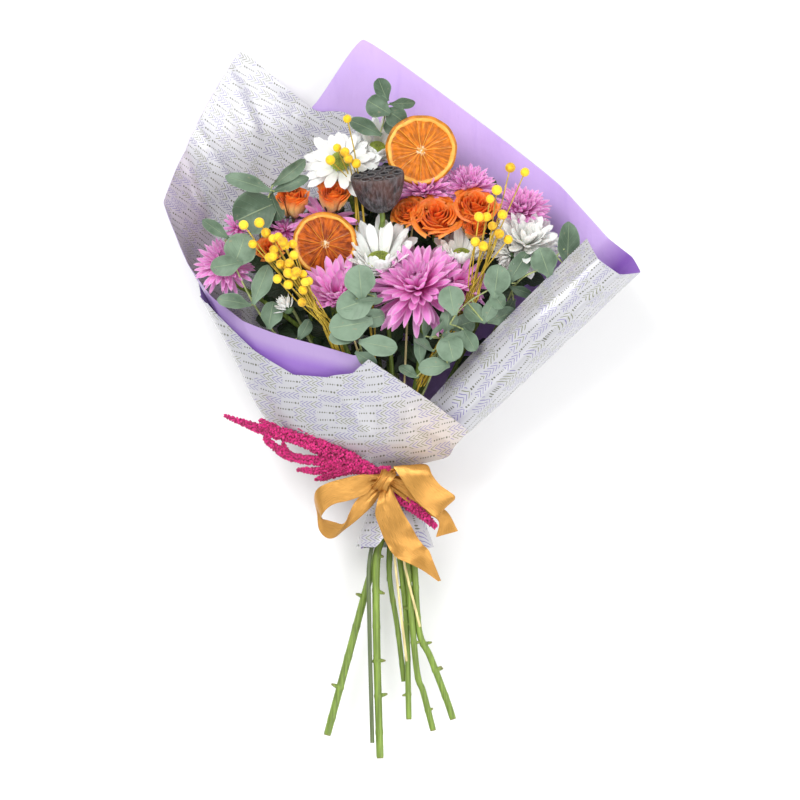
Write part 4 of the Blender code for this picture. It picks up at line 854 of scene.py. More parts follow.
class Wire:
    """A node's output, written into sums as a number is."""

    __add__, __radd__ = sign("ADD"), sign("ADD", reflected=True)
    __sub__, __rsub__ = sign("SUBTRACT"), sign("SUBTRACT", reflected=True)
    __mul__, __rmul__ = sign("MULTIPLY"), sign("MULTIPLY", reflected=True)
    __truediv__ = sign("DIVIDE")

    def __init__(self, finish, socket):
        self.finish = finish
        self.socket = socket

    def maths(self, operation, first, second=0.0):
        """A Math node on two numbers or wires."""
        return self.finish.node("ShaderNodeMath", {"operation": operation}, {0: first, 1: second})

    def __abs__(self):
        return self.maths("ABSOLUTE", self)

    def above(self, edge):
        """1 where the value is above the edge."""
        return self.maths("GREATER_THAN", self, edge)

    def below(self, edge):
        """1 where the value is below the edge."""
        return self.maths("LESS_THAN", self, edge)

    def fraction(self):
        """What is left after the whole number."""
        return self.maths("FRACT", self)

    def whole(self):
        """The whole number below the value."""
        return self.maths("FLOOR", self)

    def sine(self):
        """The sine of the value."""
        return self.maths("SINE", self)

    def off_middle(self, pitch):
        """Distance from the middle of the step of this pitch that the value is in."""
        return (self / pitch).fraction() * pitch - pitch / 2

    def ramped(self, low, high):
        """0 below low, 1 above high and smooth between them."""
        return self.finish.node("ShaderNodeMapRange", {"interpolation_type": "SMOOTHSTEP"},
                                {0: self, 1: low, 2: high, 3: 0.0, 4: 1.0})


class Finish:
    """A material that is put together node by node."""

    def __init__(self, name, constants):
        self.material = bpy.data.materials.new(name)
        self.material.use_nodes = True
        self.tree = self.material.node_tree
        self.shader = self.tree.nodes["Principled BSDF"]
        for socket, value in constants.items():
            self.shader.inputs[socket].default_value = value

    def node(self, kind, settings=None, values=None, output=0):
        """Add a node: its settings first, then the values or wires of its sockets."""
        made = self.tree.nodes.new(kind)
        for key, value in (settings or {}).items():
            setattr(made, key, value)
        for key, value in (values or {}).items():
            self.feed(made.inputs[key], value)
        return Wire(self, made.outputs[output])

    def feed(self, socket, value):
        """Give a socket a wire, a number or a colour."""
        if isinstance(value, Wire):
            self.tree.links.new(value.socket, socket)
        elif hasattr(value, "__len__") and len(value) == 3 and socket.type == "RGBA":
            socket.default_value = (*value, 1.0)
        else:
            socket.default_value = value

    def mark(self, name):
        """A number that the mesh carries on its points."""
        return self.node("ShaderNodeAttribute", {"attribute_name": name}, output="Fac")

    def place(self):
        """Object coordinates."""
        return self.node("ShaderNodeTexCoord", output="Object")

    def unrolled(self, name):
        """The two coordinates of a map that follows the surface."""
        both = self.node("ShaderNodeUVMap", {"uv_map": name})
        first = self.node("ShaderNodeSeparateXYZ", None, {0: both})
        return first, Wire(self, first.socket.node.outputs[1])

    def vector(self, x, y, z=0.0):
        """A vector from three numbers or wires."""
        return self.node("ShaderNodeCombineXYZ", None, {0: x, 1: y, 2: z})

    def stretched(self, vector, x, y, z):
        """A vector with each of its parts scaled."""
        return self.node("ShaderNodeVectorMath", {"operation": "MULTIPLY"},
                         {0: vector, 1: (x, y, z)})

    def grain(self, scale, detail=3.0, vector=None, roughness=0.55):
        """Noise from 0 to 1."""
        values = {"Scale": scale, "Detail": detail, "Roughness": roughness}
        values["Vector"] = self.place() if vector is None else vector
        return self.node("ShaderNodeTexNoise", None, values)

    def mix(self, share, first, second, blend="MIX"):
        """A colour between two colours."""
        return self.node("ShaderNodeMix", {"data_type": "RGBA", "blend_type": blend},
                         {0: share, 6: first, 7: second}, output=2)

    def veins(self, along, across, count, lean, width):
        """0 on the side veins of a leaf and 1 between them."""
        return abs((along * count - abs(across) * lean).fraction() - 0.5).ramped(0.0, width)

    def colour(self, value):
        """Feed the base colour."""
        self.feed(self.shader.inputs["Base Color"], value)

    def rough(self, value):
        """Feed the roughness."""
        self.feed(self.shader.inputs["Roughness"], value)

    def relief(self, height, distance, strength=1.0):
        """Feed the normal with a bump; the distance is in metres."""
        bump = self.node("ShaderNodeBump", None,
                         {"Height": height, "Distance": distance, "Strength": strength})
        self.feed(self.shader.inputs["Normal"], bump)


def lilac_finish(name, colours, painted_light_share):
    """The plain lilac side, with a soft gloss; painted shade darkens its creases, the roll's
    inside and the low band.
    """
    made = Finish(name, {"Coat Weight": 0.2, "Coat Roughness": 0.3})
    cloud = made.grain(9.0, 3.0)
    wrinkle = made.grain(1.0, 4.0, made.stretched(made.place(), 120.0, 26.0, 60.0))
    # Painted shade: the lilac darkens toward the lilac shade colour where noise places creases
    crease = cloud.ramped(0.35, 0.75) * 0.2 + wrinkle.ramped(0.5, 0.8) * 0.15
    # The sheet's share lightens or darkens the lilac as painted light
    body = made.mix(crease, toned(colours.lilac, painted_light_share), toned(colours.lilac_deep, painted_light_share))
    # Painted shade: the inside mark turns the lilac deep purple inside the roll's open end and on
    # the inner sheet's low band
    made.colour(made.mix(made.mark("inside"), body, (0.22, 0.09, 0.44)))
    made.rough(0.34 + made.grain(60.0, 2.0) * 0.14)
    made.relief(made.grain(30.0, 4.0) + wrinkle * 0.5, 0.0016, 0.6)
    return made.material


def sprig_finish(name, colours, painted_light_share, shadow):
    """The white side of the paper: rows of leafy strokes and of dots, and painted shade where the
    shade mark lies.
    """
    made = Finish(name, {"Coat Weight": 0.6, "Coat Roughness": 0.1})
    x, y = made.unrolled("sheet")
    y = y + made.grain(1.0, 1.0, made.vector(x / 45.0, y / 45.0)) * 7.0
    row = (y / ROW_PITCH).whole()
    off = y.off_middle(ROW_PITCH)
    near = abs(off)
    shift = (row * 12.9898).sine() * 437.0
    x = x + shift.fraction() * REPEAT
    run = (x / REPEAT).fraction() * REPEAT
    leafy = run.below(STROKES_LIE[1]) * run.above(STROKES_LIE[0])
    slant = x - near * STROKE_LEAN
    stroke = (slant / STROKE_PITCH).fraction().below(0.3) * near.below(2.9) * near.above(0.12)
    stroke = stroke * leafy
    number = (slant / STROKE_PITCH).whole()
    olive = made.grain(1.0, 0.0, made.vector(number, row * 3.7)).above(0.5)
    small = x.off_middle(2.2)
    dots = (small * small * 1.4 + off * off).below(0.5)
    dots = dots * run.above(SMALL_DOTS_LIE[0]) * run.below(SMALL_DOTS_LIE[1])
    large = x.off_middle(2.8)
    dots = dots + (large * large + off * off).below(0.8) * run.above(LARGE_DOTS_FROM)
    ink = made.mix(olive, colours.sprig, colours.sprig_olive)
    # The sheet's share lightens or darkens the white as painted light
    white = toned(colours.paper_white, painted_light_share)
    ground = made.mix(made.grain(14.0, 3.0).ramped(0.3, 0.8), white, toned(white, 0.92))
    # Painted shade: the shade mark mixes in the shadow colour, warm round the bow and mauve on the
    # turned-away facet
    ground = made.mix(made.mark("shade") * 0.6, ground, shadow)
    marked = made.mix(stroke * 0.86, ground, ink)
    made.colour(made.mix(dots * 0.85, marked, toned(colours.sprig_olive, 0.45)))
    made.rough(0.24 + made.grain(70.0, 2.0) * 0.12)
    made.relief(made.grain(30.0, 5.0), 0.0026, 0.7)
    return made.material


def petal_finish(name, tip, base, margin, deep_tip, deep_base, streak=0.35, spread=0.14):
    """A petal: deeper at its base, paler at its margin, with fine streaks and its own tint."""
    made = Finish(name, {"Roughness": 0.5, "Sheen Weight": 0.06, "Sheen Roughness": 0.4,
                         "Subsurface Weight": 0.35, "Subsurface Scale": 0.004,
                         "Subsurface Radius": (1.0, 0.7, 0.7)})
    along = made.mark("along")
    across = made.mark("across")
    tint = made.mark("tint")
    deep = made.mark("deep")
    body = made.mix(along.ramped(0.02, 0.62), base, tip)
    # The paler margin: the pinks' and whites' own pale edge, and on the roses a painted highlight
    # of the rims
    edge = (abs(across) * 0.55 + along * 0.45).ramped(0.55, 0.98)
    body = made.mix(edge * 0.8, body, margin)
    lines = made.grain(1.0, 2.0, made.vector(across * 9.0, along * 1.5, tint * 40.0))
    body = made.mix(lines.ramped(0.45, 0.72) * streak, body, made.mix(0.35, base, tip))
    dark = made.mix(along.ramped(0.05, 0.9), deep_base, deep_tip)
    # The deep mark darkens toward the deep colours; on the roses it is painted shade of the inner
    # petals
    body = made.mix(deep, body, dark)
    shade = made.mix(tint, toned((1, 1, 1), 1 - spread), (1, 1, 1))
    made.colour(made.mix(1.0, body, shade, "MULTIPLY"))
    made.relief(lines, 0.0008, 0.7)
    return made.material


def leaf_finish(colours):
    """A eucalyptus leaf: pale midrib and side veins under a waxy bloom."""
    made = Finish("eucalyptus_leaf", {"Sheen Weight": 0.1, "Sheen Roughness": 0.5})
    along = made.mark("along")
    across = made.mark("across")
    tint = made.mark("tint")
    cloud = made.grain(60.0, 4.0)
    share = (cloud * 1.5 + tint * 0.75).ramped(0.55, 1.6)
    body = made.mix(share, colours.leaf, colours.leaf_bloom)
    rib = abs(across).ramped(0.0, 0.05)
    veins = made.veins(along, across, 6.0, 2.0, 0.06)
    body = made.mix((1 - veins) * 0.22, body, toned(colours.leaf_bloom, 1.2))
    body = made.mix((1 - rib) * 0.45, body, (0.42, 0.52, 0.30))
    speck = made.grain(240.0, 2.0).ramped(0.66, 0.74)
    body = made.mix(speck * 0.35, body, (0.30, 0.22, 0.12))
    edge = abs(across).ramped(0.86, 1.0)
    made.colour(made.mix(edge * 0.4, body, toned(colours.leaf_bloom, 1.25)))
    made.rough(0.42 + cloud * 0.2)
    made.relief(veins * 0.5 + rib + cloud * 0.5, 0.0008, 0.5)
    return made.material


def foliage_finish(colours):
    """The dark lobed leaves on the flower stems, near black: partly their own green, partly
    painted shade.
    """
    made = Finish("dark_leaf", {"Roughness": 0.5})
    across = made.mark("across")
    along = made.mark("along")
    tint = made.mark("tint")
    veins = made.veins(along, across, 8.0, 3.0, 0.12)
    rib = abs(across).ramped(0.0, 0.08)
    body = made.mix((made.grain(70.0, 3.0) * 0.6 + tint * 0.6).ramped(0.3, 1.0),
                    toned(colours.foliage, 0.45), toned(colours.foliage, 1.5))
    made.colour(made.mix((1 - rib * veins) * 0.25, body, (0.12, 0.18, 0.07)))
    made.relief(veins + rib, 0.0012, 0.7)
    return made.material


def stem_finish(name, colour, scar, gloss=0.4):
    """A stem: streaked green, lighter and browner at its nodes."""
    made = Finish(name, {"Coat Weight": 0.1, "Coat Roughness": 0.4})
    fibre = made.grain(1.0, 4.0, made.stretched(made.place(), 520.0, 30.0, 520.0))
    blotch = made.grain(26.0, 3.0)
    body = made.mix(fibre.ramped(0.3, 0.75), toned(colour, 0.66), toned(colour, 1.4))
    body = made.mix(blotch.ramped(0.5, 0.8) * 0.4, body, toned(colour, 0.5))
    made.colour(made.mix(made.mark("node").ramped(0.25, 1.0) * 0.75, body, scar))
    made.rough(gloss + fibre * 0.2)
    made.relief(fibre + blotch * 0.5, 0.0006, 0.7)
    return made.material


def satin_finish(colours):
    """Satin: fine threads along the ribbon and a soft coloured sheen."""
    made = Finish("satin_ribbon", {"Metallic": 0.6, "Anisotropic": 0.5, "Specular IOR Level": 0.6})
    x, y = made.unrolled("weave")
    threads = made.grain(1.0, 2.0, made.vector(x * 2.2, y * 0.12))
    made.colour(made.mix(threads.ramped(0.3, 0.75), toned(colours.satin, 0.88),
                         toned(colours.satin, 1.14)))
    made.rough(0.25 + threads * 0.08)
    made.relief(threads + made.grain(22.0, 2.0) * 9.0, 0.0006, 0.6)
    return made.material


def slice_finish(colours):
    """A dried slice: rind, pale pith and membranes, and streaky amber flesh."""
    made = Finish("dried_slice", {"Coat Weight": 0.12, "Coat Roughness": 0.2,
                                  "Specular IOR Level": 0.3})
    ring = made.mark("ring")
    flesh = made.mark("flesh")
    shade = made.mark("shade")
    spoke = made.vector(made.mark("turn_x") * 9.0, made.mark("turn_y") * 9.0, ring * 2.2)
    strands = made.grain(1.0, 5.0, spoke)
    cells = made.grain(150.0, 4.0)
    low = made.mix(shade, toned(colours.flesh, 0.55), (0.16, 0.014, 0.001))
    high = made.mix(shade, colours.flesh, (0.50, 0.085, 0.002))
    meat = made.mix((strands * 0.65 + cells * 0.35).ramped(0.40, 0.60), low, high)
    glow = made.mix(shade, (0.86, 0.33, 0.015), (0.60, 0.13, 0.002))
    meat = made.mix(strands.ramped(0.56, 0.72) * 0.6, meat, glow)
    skin = made.mix(shade, (0.80, 0.36, 0.05), (0.62, 0.20, 0.012))
    body = made.mix(flesh.ramped(0.05, 0.5), skin, meat)
    heart = made.grain(420.0, 3.0).ramped(0.4, 0.7) * (1 - ring.ramped(0.10, 0.17))
    body = made.mix(heart, body, (0.95, 0.86, 0.62))
    uneven = ring + made.grain(110.0, 3.0) * 0.03
    pith = uneven.ramped(0.865, 0.885) * (1 - uneven.ramped(0.94, 0.96))
    body = made.mix(pith, body, made.mix(cells.ramped(0.4, 0.6), colours.pith, (0.86, 0.42, 0.08)))
    rind = made.mix(cells.ramped(0.3, 0.7), toned(colours.rind, 0.55), colours.rind)
    made.colour(made.mix(uneven.ramped(0.94, 0.96), body, rind))
    made.rough(0.3 + cells * 0.25)
    made.relief(strands * 0.9 + cells * 0.7, 0.0012, 0.9)
    return made.material


def pod_finish(colours):
    """A dried pod: near black, greyer along its ridges, with a little brown."""
    made = Finish("dried_pod", {})
    streak = made.grain(1.0, 5.0, made.stretched(made.place(), 420.0, 90.0, 260.0))
    fine = made.grain(500.0, 3.0)
    body = made.mix(streak.ramped(0.38, 0.66), toned(colours.pod, 0.4), toned(colours.pod, 2.6))
    body = made.mix(made.grain(34.0, 2.0).ramped(0.5, 0.7) * 0.5, body, (0.13, 0.045, 0.03))
    made.colour(made.mix(made.mark("rim") * 0.7, body, (0.20, 0.195, 0.20)))
    made.rough(0.42 + fine * 0.3)
    made.relief(streak * 1.5 + fine * 0.4, 0.0016, 1.0)
    return made.material


def lump_finish(name, colour, dark, scale, depth):
    """A small felted or knobbly thing: painted shade in its hollows, and the brightest tints
    lifted, as painted highlight on the tassel knobs.
    """
    made = Finish(name, {"Roughness": 0.6, "Sheen Weight": 0.2, "Sheen Roughness": 0.5})
    lumps = made.grain(scale, 2.0)
    tint = made.mark("tint")
    # Painted shade: the colour darkens where the bump's lumps are low, in the hollows
    body = made.mix((lumps * 0.7 + tint * 0.5).ramped(0.3, 0.75), dark, colour)
    # The highest tints are lifted; on the tassel knobs this is painted highlight
    made.colour(made.mix(tint.ramped(0.8, 1.0) * 0.5, body, toned(colour, 1.3, 0.05)))
    made.relief(lumps, depth, 0.8)
    return made.material


def floor_finish(colours):
    """A plain pale floor."""
    made = Finish("pale_floor", {"Roughness": 0.9, "Specular IOR Level": 0.1})
    cloud = made.grain(5.0, 2.0) * 0.1
    made.colour(made.mix(cloud, colours.floor, toned(colours.floor, 0.97)))
    return made.material


def tie_slot(slot, y):
    """A stem's place among the others inside the tie."""
    return (TIE[0] + slot[0], y, TIE[2] + slot[1])


def through_tie(slot, below, above):
    """Two places of a stem, below and above the middle of the tie."""
    return [tie_slot(slot, TIE[1] - below), tie_slot(slot, TIE[1] + above)]


def along_line(points):
    """Distance along a line of points, for each of them."""
    return np.concatenate([[0], np.cumsum(np.linalg.norm(np.diff(points, axis=0), axis=1))])


def at_distance(line, places, distance):
    """The point of a line at a distance along it."""
    return np.array([np.interp(distance, places, line[:, k]) for k in range(3)])


def add_tube(form, points, radii, sides=10, finish=0, **marks):
    """Add a round closed tube along a line. A radius or mark is one number, or one a point."""
    points = np.asarray(points, float)
    radii = np.broadcast_to(np.asarray(radii, float), len(points))
    side = None
    rings = []
    for i in range(len(points)):
        ahead = unit(points[min(i + 1, len(points) - 1)] - points[max(i - 1, 0)])
        if side is None:
            side = np.cross(ahead, (0.3, 0.2, 0.9))
        side = unit(side - ahead * (side @ ahead))
        other = np.cross(ahead, side)
        turns = math.tau * np.arange(sides) / sides
        rings.append(points[i] + radii[i] * (np.cos(turns)[:, None] * side
                                              + np.sin(turns)[:, None] * other))
    rings.insert(0, np.array([points[0]]))
    rings.append(np.array([points[-1]]))
    faces = []
    last = 1 + (len(points) - 1) * sides
    for k in range(sides):
        j = (k + 1) % sides
        faces.append((0, 1 + j, 1 + k))
        faces.append((last + k, last + j, last + sides))
        for i in range(len(points) - 1):
            low = 1 + i * sides
            faces.append((low + k, low + j, low + sides + j, low + sides + k))
    made = {}
    for key, values in marks.items():
        values = np.broadcast_to(np.asarray(values, float), len(points))
        made[key] = np.concatenate([values[:1], np.repeat(values, sides), values[-1:]])
    form.add(np.concatenate(rings), faces, finish, **made)


def seat_of(owner, number=0):
    """Where a stem ends under a head, and a point lower down."""
    head = HEADS[owner][number]
    drop = 0.75 if owner in ROSES else 0.08
    tip = head.centre - head.axis * drop * head.radius
    return tip, tip - head.axis * 12.0 - (0, 3.0, 0)


def node_mark(places, first, pitch, end):
    """How much of a node each place along a stem holds, from 0 to 1."""
    total = np.zeros(len(places))
    at = first
    while at < end:
        total += np.exp(-((places - at) / 1.5) ** 2)
        at += pitch
    return np.clip(total, 0, 1)


def add_stem(form, name, draw, leaf):
    """A branching stem: nodes and stubs below the tie, dark leaves above it."""
    slot, ends, way, heads, (low, mid, high) = STEM_RUNS[name]
    tip, under = seat_of(heads[0][0])
    line = curve(ends + through_tie(slot, 14, 14) + way + heads[0][1] + [under, tip], 2.5)
    places = along_line(line)
    radii = np.interp(line[:, 1], [TIE[1] - 34, TIE[1] - 18, TIE[1] + 18, TIE[1] + 30],
                      [low, mid, mid, high])
    below = line[:, 1] < TIE[1] - 24
    nodes = node_mark(places, draw.uniform(16, 24), draw.uniform(24, 33), places[below].max())
    radii = radii * (1 + 0.16 * nodes)
    radii[-3:] *= (1.0, 1.15, 1.3)
    radii[0] *= 0.9
    mark = 0.45 * nodes
    mark[:1] = 1.0
    add_tube(form, line, radii, node=mark)
    for at in np.nonzero((nodes[1:-1] > nodes[:-2]) & (nodes[1:-1] >= nodes[2:])
                         & (nodes[1:-1] > 0.8))[0] + 1:
        for k in range(draw.choice((1, 1, 2))):
            add_stub(form, line, radii, at, draw)
    for owner, via in heads[1:]:
        tip, under = seat_of(owner)
        branch = curve([way[-1]] + via + [under, tip], 6.0)
        sizes = np.full(len(branch), 0.9 * high)
        sizes[-2:] *= (1.15, 1.3)
        add_tube(form, branch, sizes, 8, node=0.0)
        dress_stem(form, branch, leaf, draw)
    dress_stem(form, line, leaf, draw)


def dress_stem(form, line, leaf, draw):
    """Dark lobed leaves along a stem, where it is inside the wrap; their near black is partly
    painted shade.
    """
    shape = petal_shape(0.25, 0.55, 1.8)
    places = along_line(line)
    at = draw.uniform(4, 14)
    side = draw.choice((-1, 1))
    while at < places[-1] - 16:
        root = at_distance(line, places, at)
        ahead = at_distance(line, places, at + 3) - root
        at += draw.uniform(10, 15)
        side = -side
        length = draw.uniform(26, 38)
        turn = math.atan2(ahead[1], ahead[0]) + side * draw.uniform(0.5, 1.0)
        rise = draw.uniform(0.0, 0.45)
        tip_height = root[2] + length * math.sin(rise)
        if root[1] < LEAVES_FROM or abs(root[0]) > LEAVES_WITHIN or tip_height > LEAVES_BELOW:
            continue
        half = length * draw.uniform(0.24, 0.3)

        def lobed(t):
            return half * shape(t) * (0.68 + 0.32 * np.abs(np.sin(3.4 * math.pi * t)))

        points = leaf.bent(length, lobed, rise, draw.uniform(-0.9, 0.1), draw.uniform(0.1, 0.5),
                           0.5, draw.uniform(-0.5, 0.5))
        leaf.add_to(form, turn_about_z(points, turn) + root, 1, tint=draw.random())


def add_stub(form, line, radii, at, draw):
    """The stub of a leaf that was stripped off, at a node."""
    ahead = unit(line[at + 1] - line[at - 1])
    turn = draw.choice((-1, 1)) * np.array([1.0, 0.0, draw.uniform(-0.5, 0.9)])
    out = unit(turn - ahead * (turn @ ahead))
    out = unit(out - draw.uniform(-0.2, 0.5) * ahead)
    length = radii[at] * draw.uniform(1.5, 2.3)
    points = [line[at], line[at] + out * length * 0.7, line[at] + out * length]
    add_tube(form, points, radii[at] * np.array((0.6, 0.4, 0.22)), 7, node=(0.1, 0.5, 1.0))


def wrap_grid(us, vs):
    """Points of the surface that both sheets follow, for spokes us and distances vs."""
    made = np.empty((*np.shape(vs), 3))
    angles = [np.array([float(spoke[0])]) for spoke in SPOKES]
    rows = {level: [np.array(spoke[level], float) for spoke in SPOKES] for level, _ in ROUND_PULLS}
    for i, u in enumerate(us):
        angle = math.radians(spline(angles, u)[0])
        x, z = math.cos(angle), math.sin(angle)
        levels = [np.array((TIE[0] + SKIRT_RX * x, SKIRT_Y, TIE[2] + SKIRT_RZ * z))]
        for y in (TIE[1] - TIE_HALF, TIE[1] + TIE_HALF):
            levels.append(np.array((TIE[0] + TIE_RX * x, y, TIE[2] + TIE_RZ * z)))
        for level, pull in ROUND_PULLS:
            levels.append(spline(rows[level], u, pull))
        for j, v in enumerate(vs[i]):
            made[i, j] = spline(levels, v + 2.0, SPOKE_PULL)
    return made


def spoke_end(u, column):
    """How far along spoke u a sheet goes."""
    i = min(int(u), len(SPOKES) - 2)
    return SPOKES[i][column] * (1 - (u - i)) + SPOKES[i + 1][column] * (u - i)


def grid_normals(points):
    """Outward directions of a grid of points."""
    along_u = np.gradient(points, axis=0)
    along_v = np.gradient(points, axis=1)
    cross = np.cross(along_u, along_v)
    return -cross / np.maximum(np.linalg.norm(cross, axis=2, keepdims=True), 1e-9)


def crease_height(across, down, start, end, rise, wide):
    """Height of a straight sharp fold, between two places of the picture, all over it."""
    run = np.array((end[0] - start[0], end[1] - start[1]), float)
    share = ((across - start[0]) * run[0] + (down - start[1]) * run[1]) / (run @ run)
    near = np.clip(share, 0, 1)
    away = np.hypot(across - start[0] - near * run[0], down - start[1] - near * run[1])
    return rise * np.exp(-away / wide)


def crinkle_height(place, seed):
    """Soft creases: broad swells and finer ones, from about -1 to 1."""
    broad = noise.noise(Vector(place) / 60.0 + Vector((seed, 0.0, 0.0)))
    ridge = abs(noise.noise(Vector((place[0] / 38.0, place[1] / 75.0, seed + 5.0))))
    fine = noise.noise(Vector(place) / 19.0 + Vector((0.0, seed, 0.0)))
    return 0.8 * broad + 0.9 * max(0.0, 0.22 - ridge) + 0.3 * fine


def eased(share):
    """A share from 0 to 1, slow at both ends."""
    return share * share * (3 - 2 * share)


def outer_marks(us, vs, across, down):
    """Painted shade inside the outer sheet's roll, and the bow's painted warm shade on its front.
    """
    open_end = np.clip((2.4 - np.abs(us - 2.6)) / 0.8, 0, 1)[:, None]
    inside = open_end * np.clip((vs - 2.52) / 0.22, 0, 1)
    # Painted warm shade round the bow, on the front of the outer sheet
    glow = np.exp(-((across - 434) ** 2 + (down - 440) ** 2) / 1500.0)
    return inside, (us[:, None] > 14) * glow


def inner_marks(us, vs, across, down):
    """Painted shade on the inner sheet's low band inside the wrap, and on the turned-away facet of
    its tall panel.
    """
    inside = (us[:, None] > 13) * 0.75 * np.clip((2.72 - vs) / 0.22, 0, 1)
    # Painted shade, tinted mauve, on the facet where the tall panel turns away
    facet = np.clip((187 + 0.33 * (down - 146) - across) / 5, 0, 1)
    return inside, (us[:, None] < 13.5) * facet * np.clip((down - 138) / 12, 0, 1)


def paper_sheet(name, slot, finishes, node, spokes, column, offset, lap, floor, size, seed,
                row_along, notch, folds):
    """A sheet of paper on the shared surface, creased, with its own face on each side."""
    columns, rows = size
    sheet = grid_blank(columns - 1, rows - 1)
    sheet.name = name
    flat = points_of(sheet)
    us = np.linspace(spokes[0], spokes[1], columns)
    share = np.linspace(0, 1, rows)
    hems = -2.0 + notch[0] * np.clip(1 - np.abs(us - notch[1]) / notch[2], 0, 1)
    vs = np.array([hem + (spoke_end(u, column) - hem) * share for u, hem in zip(us, hems)])
    points = wrap_grid(us, vs)
    normals = grid_normals(points)
    step = np.clip((us - LAP_SPOKES[0]) / (LAP_SPOKES[1] - LAP_SPOKES[0]), 0, 1)
    rise = offset + lap * eased(step) + (SOLID_PAPER + DRAWN_PAPER) / 2
    unroll = unrolled_sheet(us, points, *row_along)
    crinkle = bpy.context.scene.bouquet_sizes.crinkle / MM
    across, down = picture(points.transpose(2, 0, 1))[:2]
    ridges = np.zeros((columns, rows))
    for first, last, fold in folds:
        here = ((us >= first) & (us <= last))[:, None] * np.clip(vs - 0.9, 0, 0.6) / 0.6
        ridges += here * crease_height(across, down, *fold)
    for i in range(columns):
        for j in range(rows):
            loose = min(1.0, max(0.0, (vs[i, j] - 0.2) / 0.8)) * 0.85 + 0.15
            height = crinkle_height(points[i, j], seed) * crinkle * loose + ridges[i, j]
            points[i, j] += normals[i, j] * (rise[i] + height)
    points[:, :, 2] = np.maximum(points[:, :, 2], floor)
    i = np.rint((flat[:, 0] + 1) / 2 * (columns - 1)).astype(int)
    j = np.rint((flat[:, 1] + 1) / 2 * (rows - 1)).astype(int)
    places = (points[i, j] - ORIGIN) * MM
    sheet.data.vertices.foreach_set("co", places.ravel())
    for finish in finishes:
        sheet.data.materials.append(finish)
    if name == "outer_wrap":
        inside, shade = outer_marks(us, vs, across, down)
        front = us > 12.6
        bowl = points[:, :, 1] - 0.0016 * (points[:, :, 0] + 46) ** 2
        unroll[front] = np.stack([points[:, :, 0], bowl], axis=2)[front]
    else:
        inside, shade = inner_marks(us, vs, across, down)
    lay_map(sheet.data, "sheet", unroll[i, j])
    # Both marks are painted shade: inside darkens the lilac side, shade darkens the patterned side
    lay_mark(sheet.data, "inside", inside[i, j])
    lay_mark(sheet.data, "shade", shade[i, j])
    sheet.data.update()
    apply_modifier(sheet, "SOLIDIFY", thickness=DRAWN_PAPER * MM, offset=1.0,
                   material_offset=1, material_offset_rim=1)
    return take_place(sheet, [node], 50)


def unrolled_sheet(us, points, spoke, share, turn):
    """The flat place of every point, as if the sheet were a cone laid open.

    At a share of the length of one spoke, the rows of the pattern follow a direction of
    the picture, turn.
    """
    ahead = points[:, -1] - points[:, len(points[0]) // 3]
    ahead = ahead / np.linalg.norm(ahead, axis=1, keepdims=True)
    between = np.arccos(np.clip((ahead[1:] * ahead[:-1]).sum(axis=1), -1, 1))
    angle = np.concatenate([[0], np.cumsum(between)])[:, None]
    steps = np.linalg.norm(np.diff(points, axis=1), axis=2)
    reach = CONE_START + np.concatenate([np.zeros((len(us), 1)), np.cumsum(steps, axis=1)], axis=1)
    flat = np.stack([reach * np.cos(angle), reach * np.sin(angle)], axis=2)
    i = int(np.argmin(np.abs(us - spoke)))
    j = int(share * (len(points[0]) - 1))
    moves = [(points[i + a, j + b] - points[i - a, j - b],
              flat[i + a, j + b] - flat[i - a, j - b]) for a, b in ((3, 0), (0, 3))]
    seen_moves = np.array([move[0][:2] for move in moves])
    laid = np.array([move[1] for move in moves])
    heading = np.array((math.cos(turn), math.sin(turn))) @ np.linalg.pinv(seen_moves) @ laid
    angle = angle - (math.atan2(heading[1], heading[0]) + math.pi / 2) % math.pi + math.pi / 2
    return np.stack([reach * np.cos(angle), reach * np.sin(angle)], axis=2)


def add_petals(form, name, head, kind, width, pocket, shape, draw, channel, thick, deep):
    """Layers of petals round a head, leaving out what would cross a neighbour."""
    radius = head.radius
    fan = kind in ("fan", "upright")
    start = (0.18 if kind == "fan" else 0.07) * radius
    for level, (count, rise, reach, curl) in enumerate(PETAL_LAYERS[kind]):
        for k in range(count):
            turn = math.tau * (k + 0.5 * (level % 2)) / count + draw.uniform(-0.12, 0.12)
            angle = math.radians(rise + draw.uniform(-7, 7))
            bend = math.radians(curl + draw.uniform(-13, 13))
            long = reach * radius * draw.uniform(0.86, 1.02) * (1 + 0.08 * math.sin(turn))
            if fan:
                far_side = (0.5 - 0.5 * math.sin(turn)) ** 1.2
                long *= 0.36 + (0.9 if kind == "fan" else 0.64) * far_side
            size = width * radius * draw.uniform(0.82, 1.12) / 2
            up = (0.02 * level - 0.04) * radius
            twist = draw.uniform(-0.45, 0.45)
            fold = channel * draw.uniform(0.5, 1.3)
            tint = draw.random()
            for shrink in (1.0, 0.78, 0.58):
                points = pocket.bent(shrink * long - start, lambda t: size * shape(t), angle,
                                     bend, fold, thick, twist)
                points = head.place(turn_about_z(points + (start, 0, up), turn))
                if clear_of_neighbours(points, name) and points[:, 2].max() < HIGHEST:
                    pocket.add_to(form, points, tint=tint, deep=deep)
                    break


def add_ball(form, centre, radius, squash=1.0, turn=None, finish=0, rings=8, **marks):
    """Add a round lump made from a sphere primitive."""
    points, faces = arrays_of(primitive(bpy.ops.mesh.primitive_uv_sphere_add,
                                        segments=2 * rings, ring_count=rings, radius=1.0))
    points = points * (radius, radius, radius * squash)
    if turn is not None:
        points = points @ turn.T
    form.add(points + np.asarray(centre, float), faces, finish, **marks)


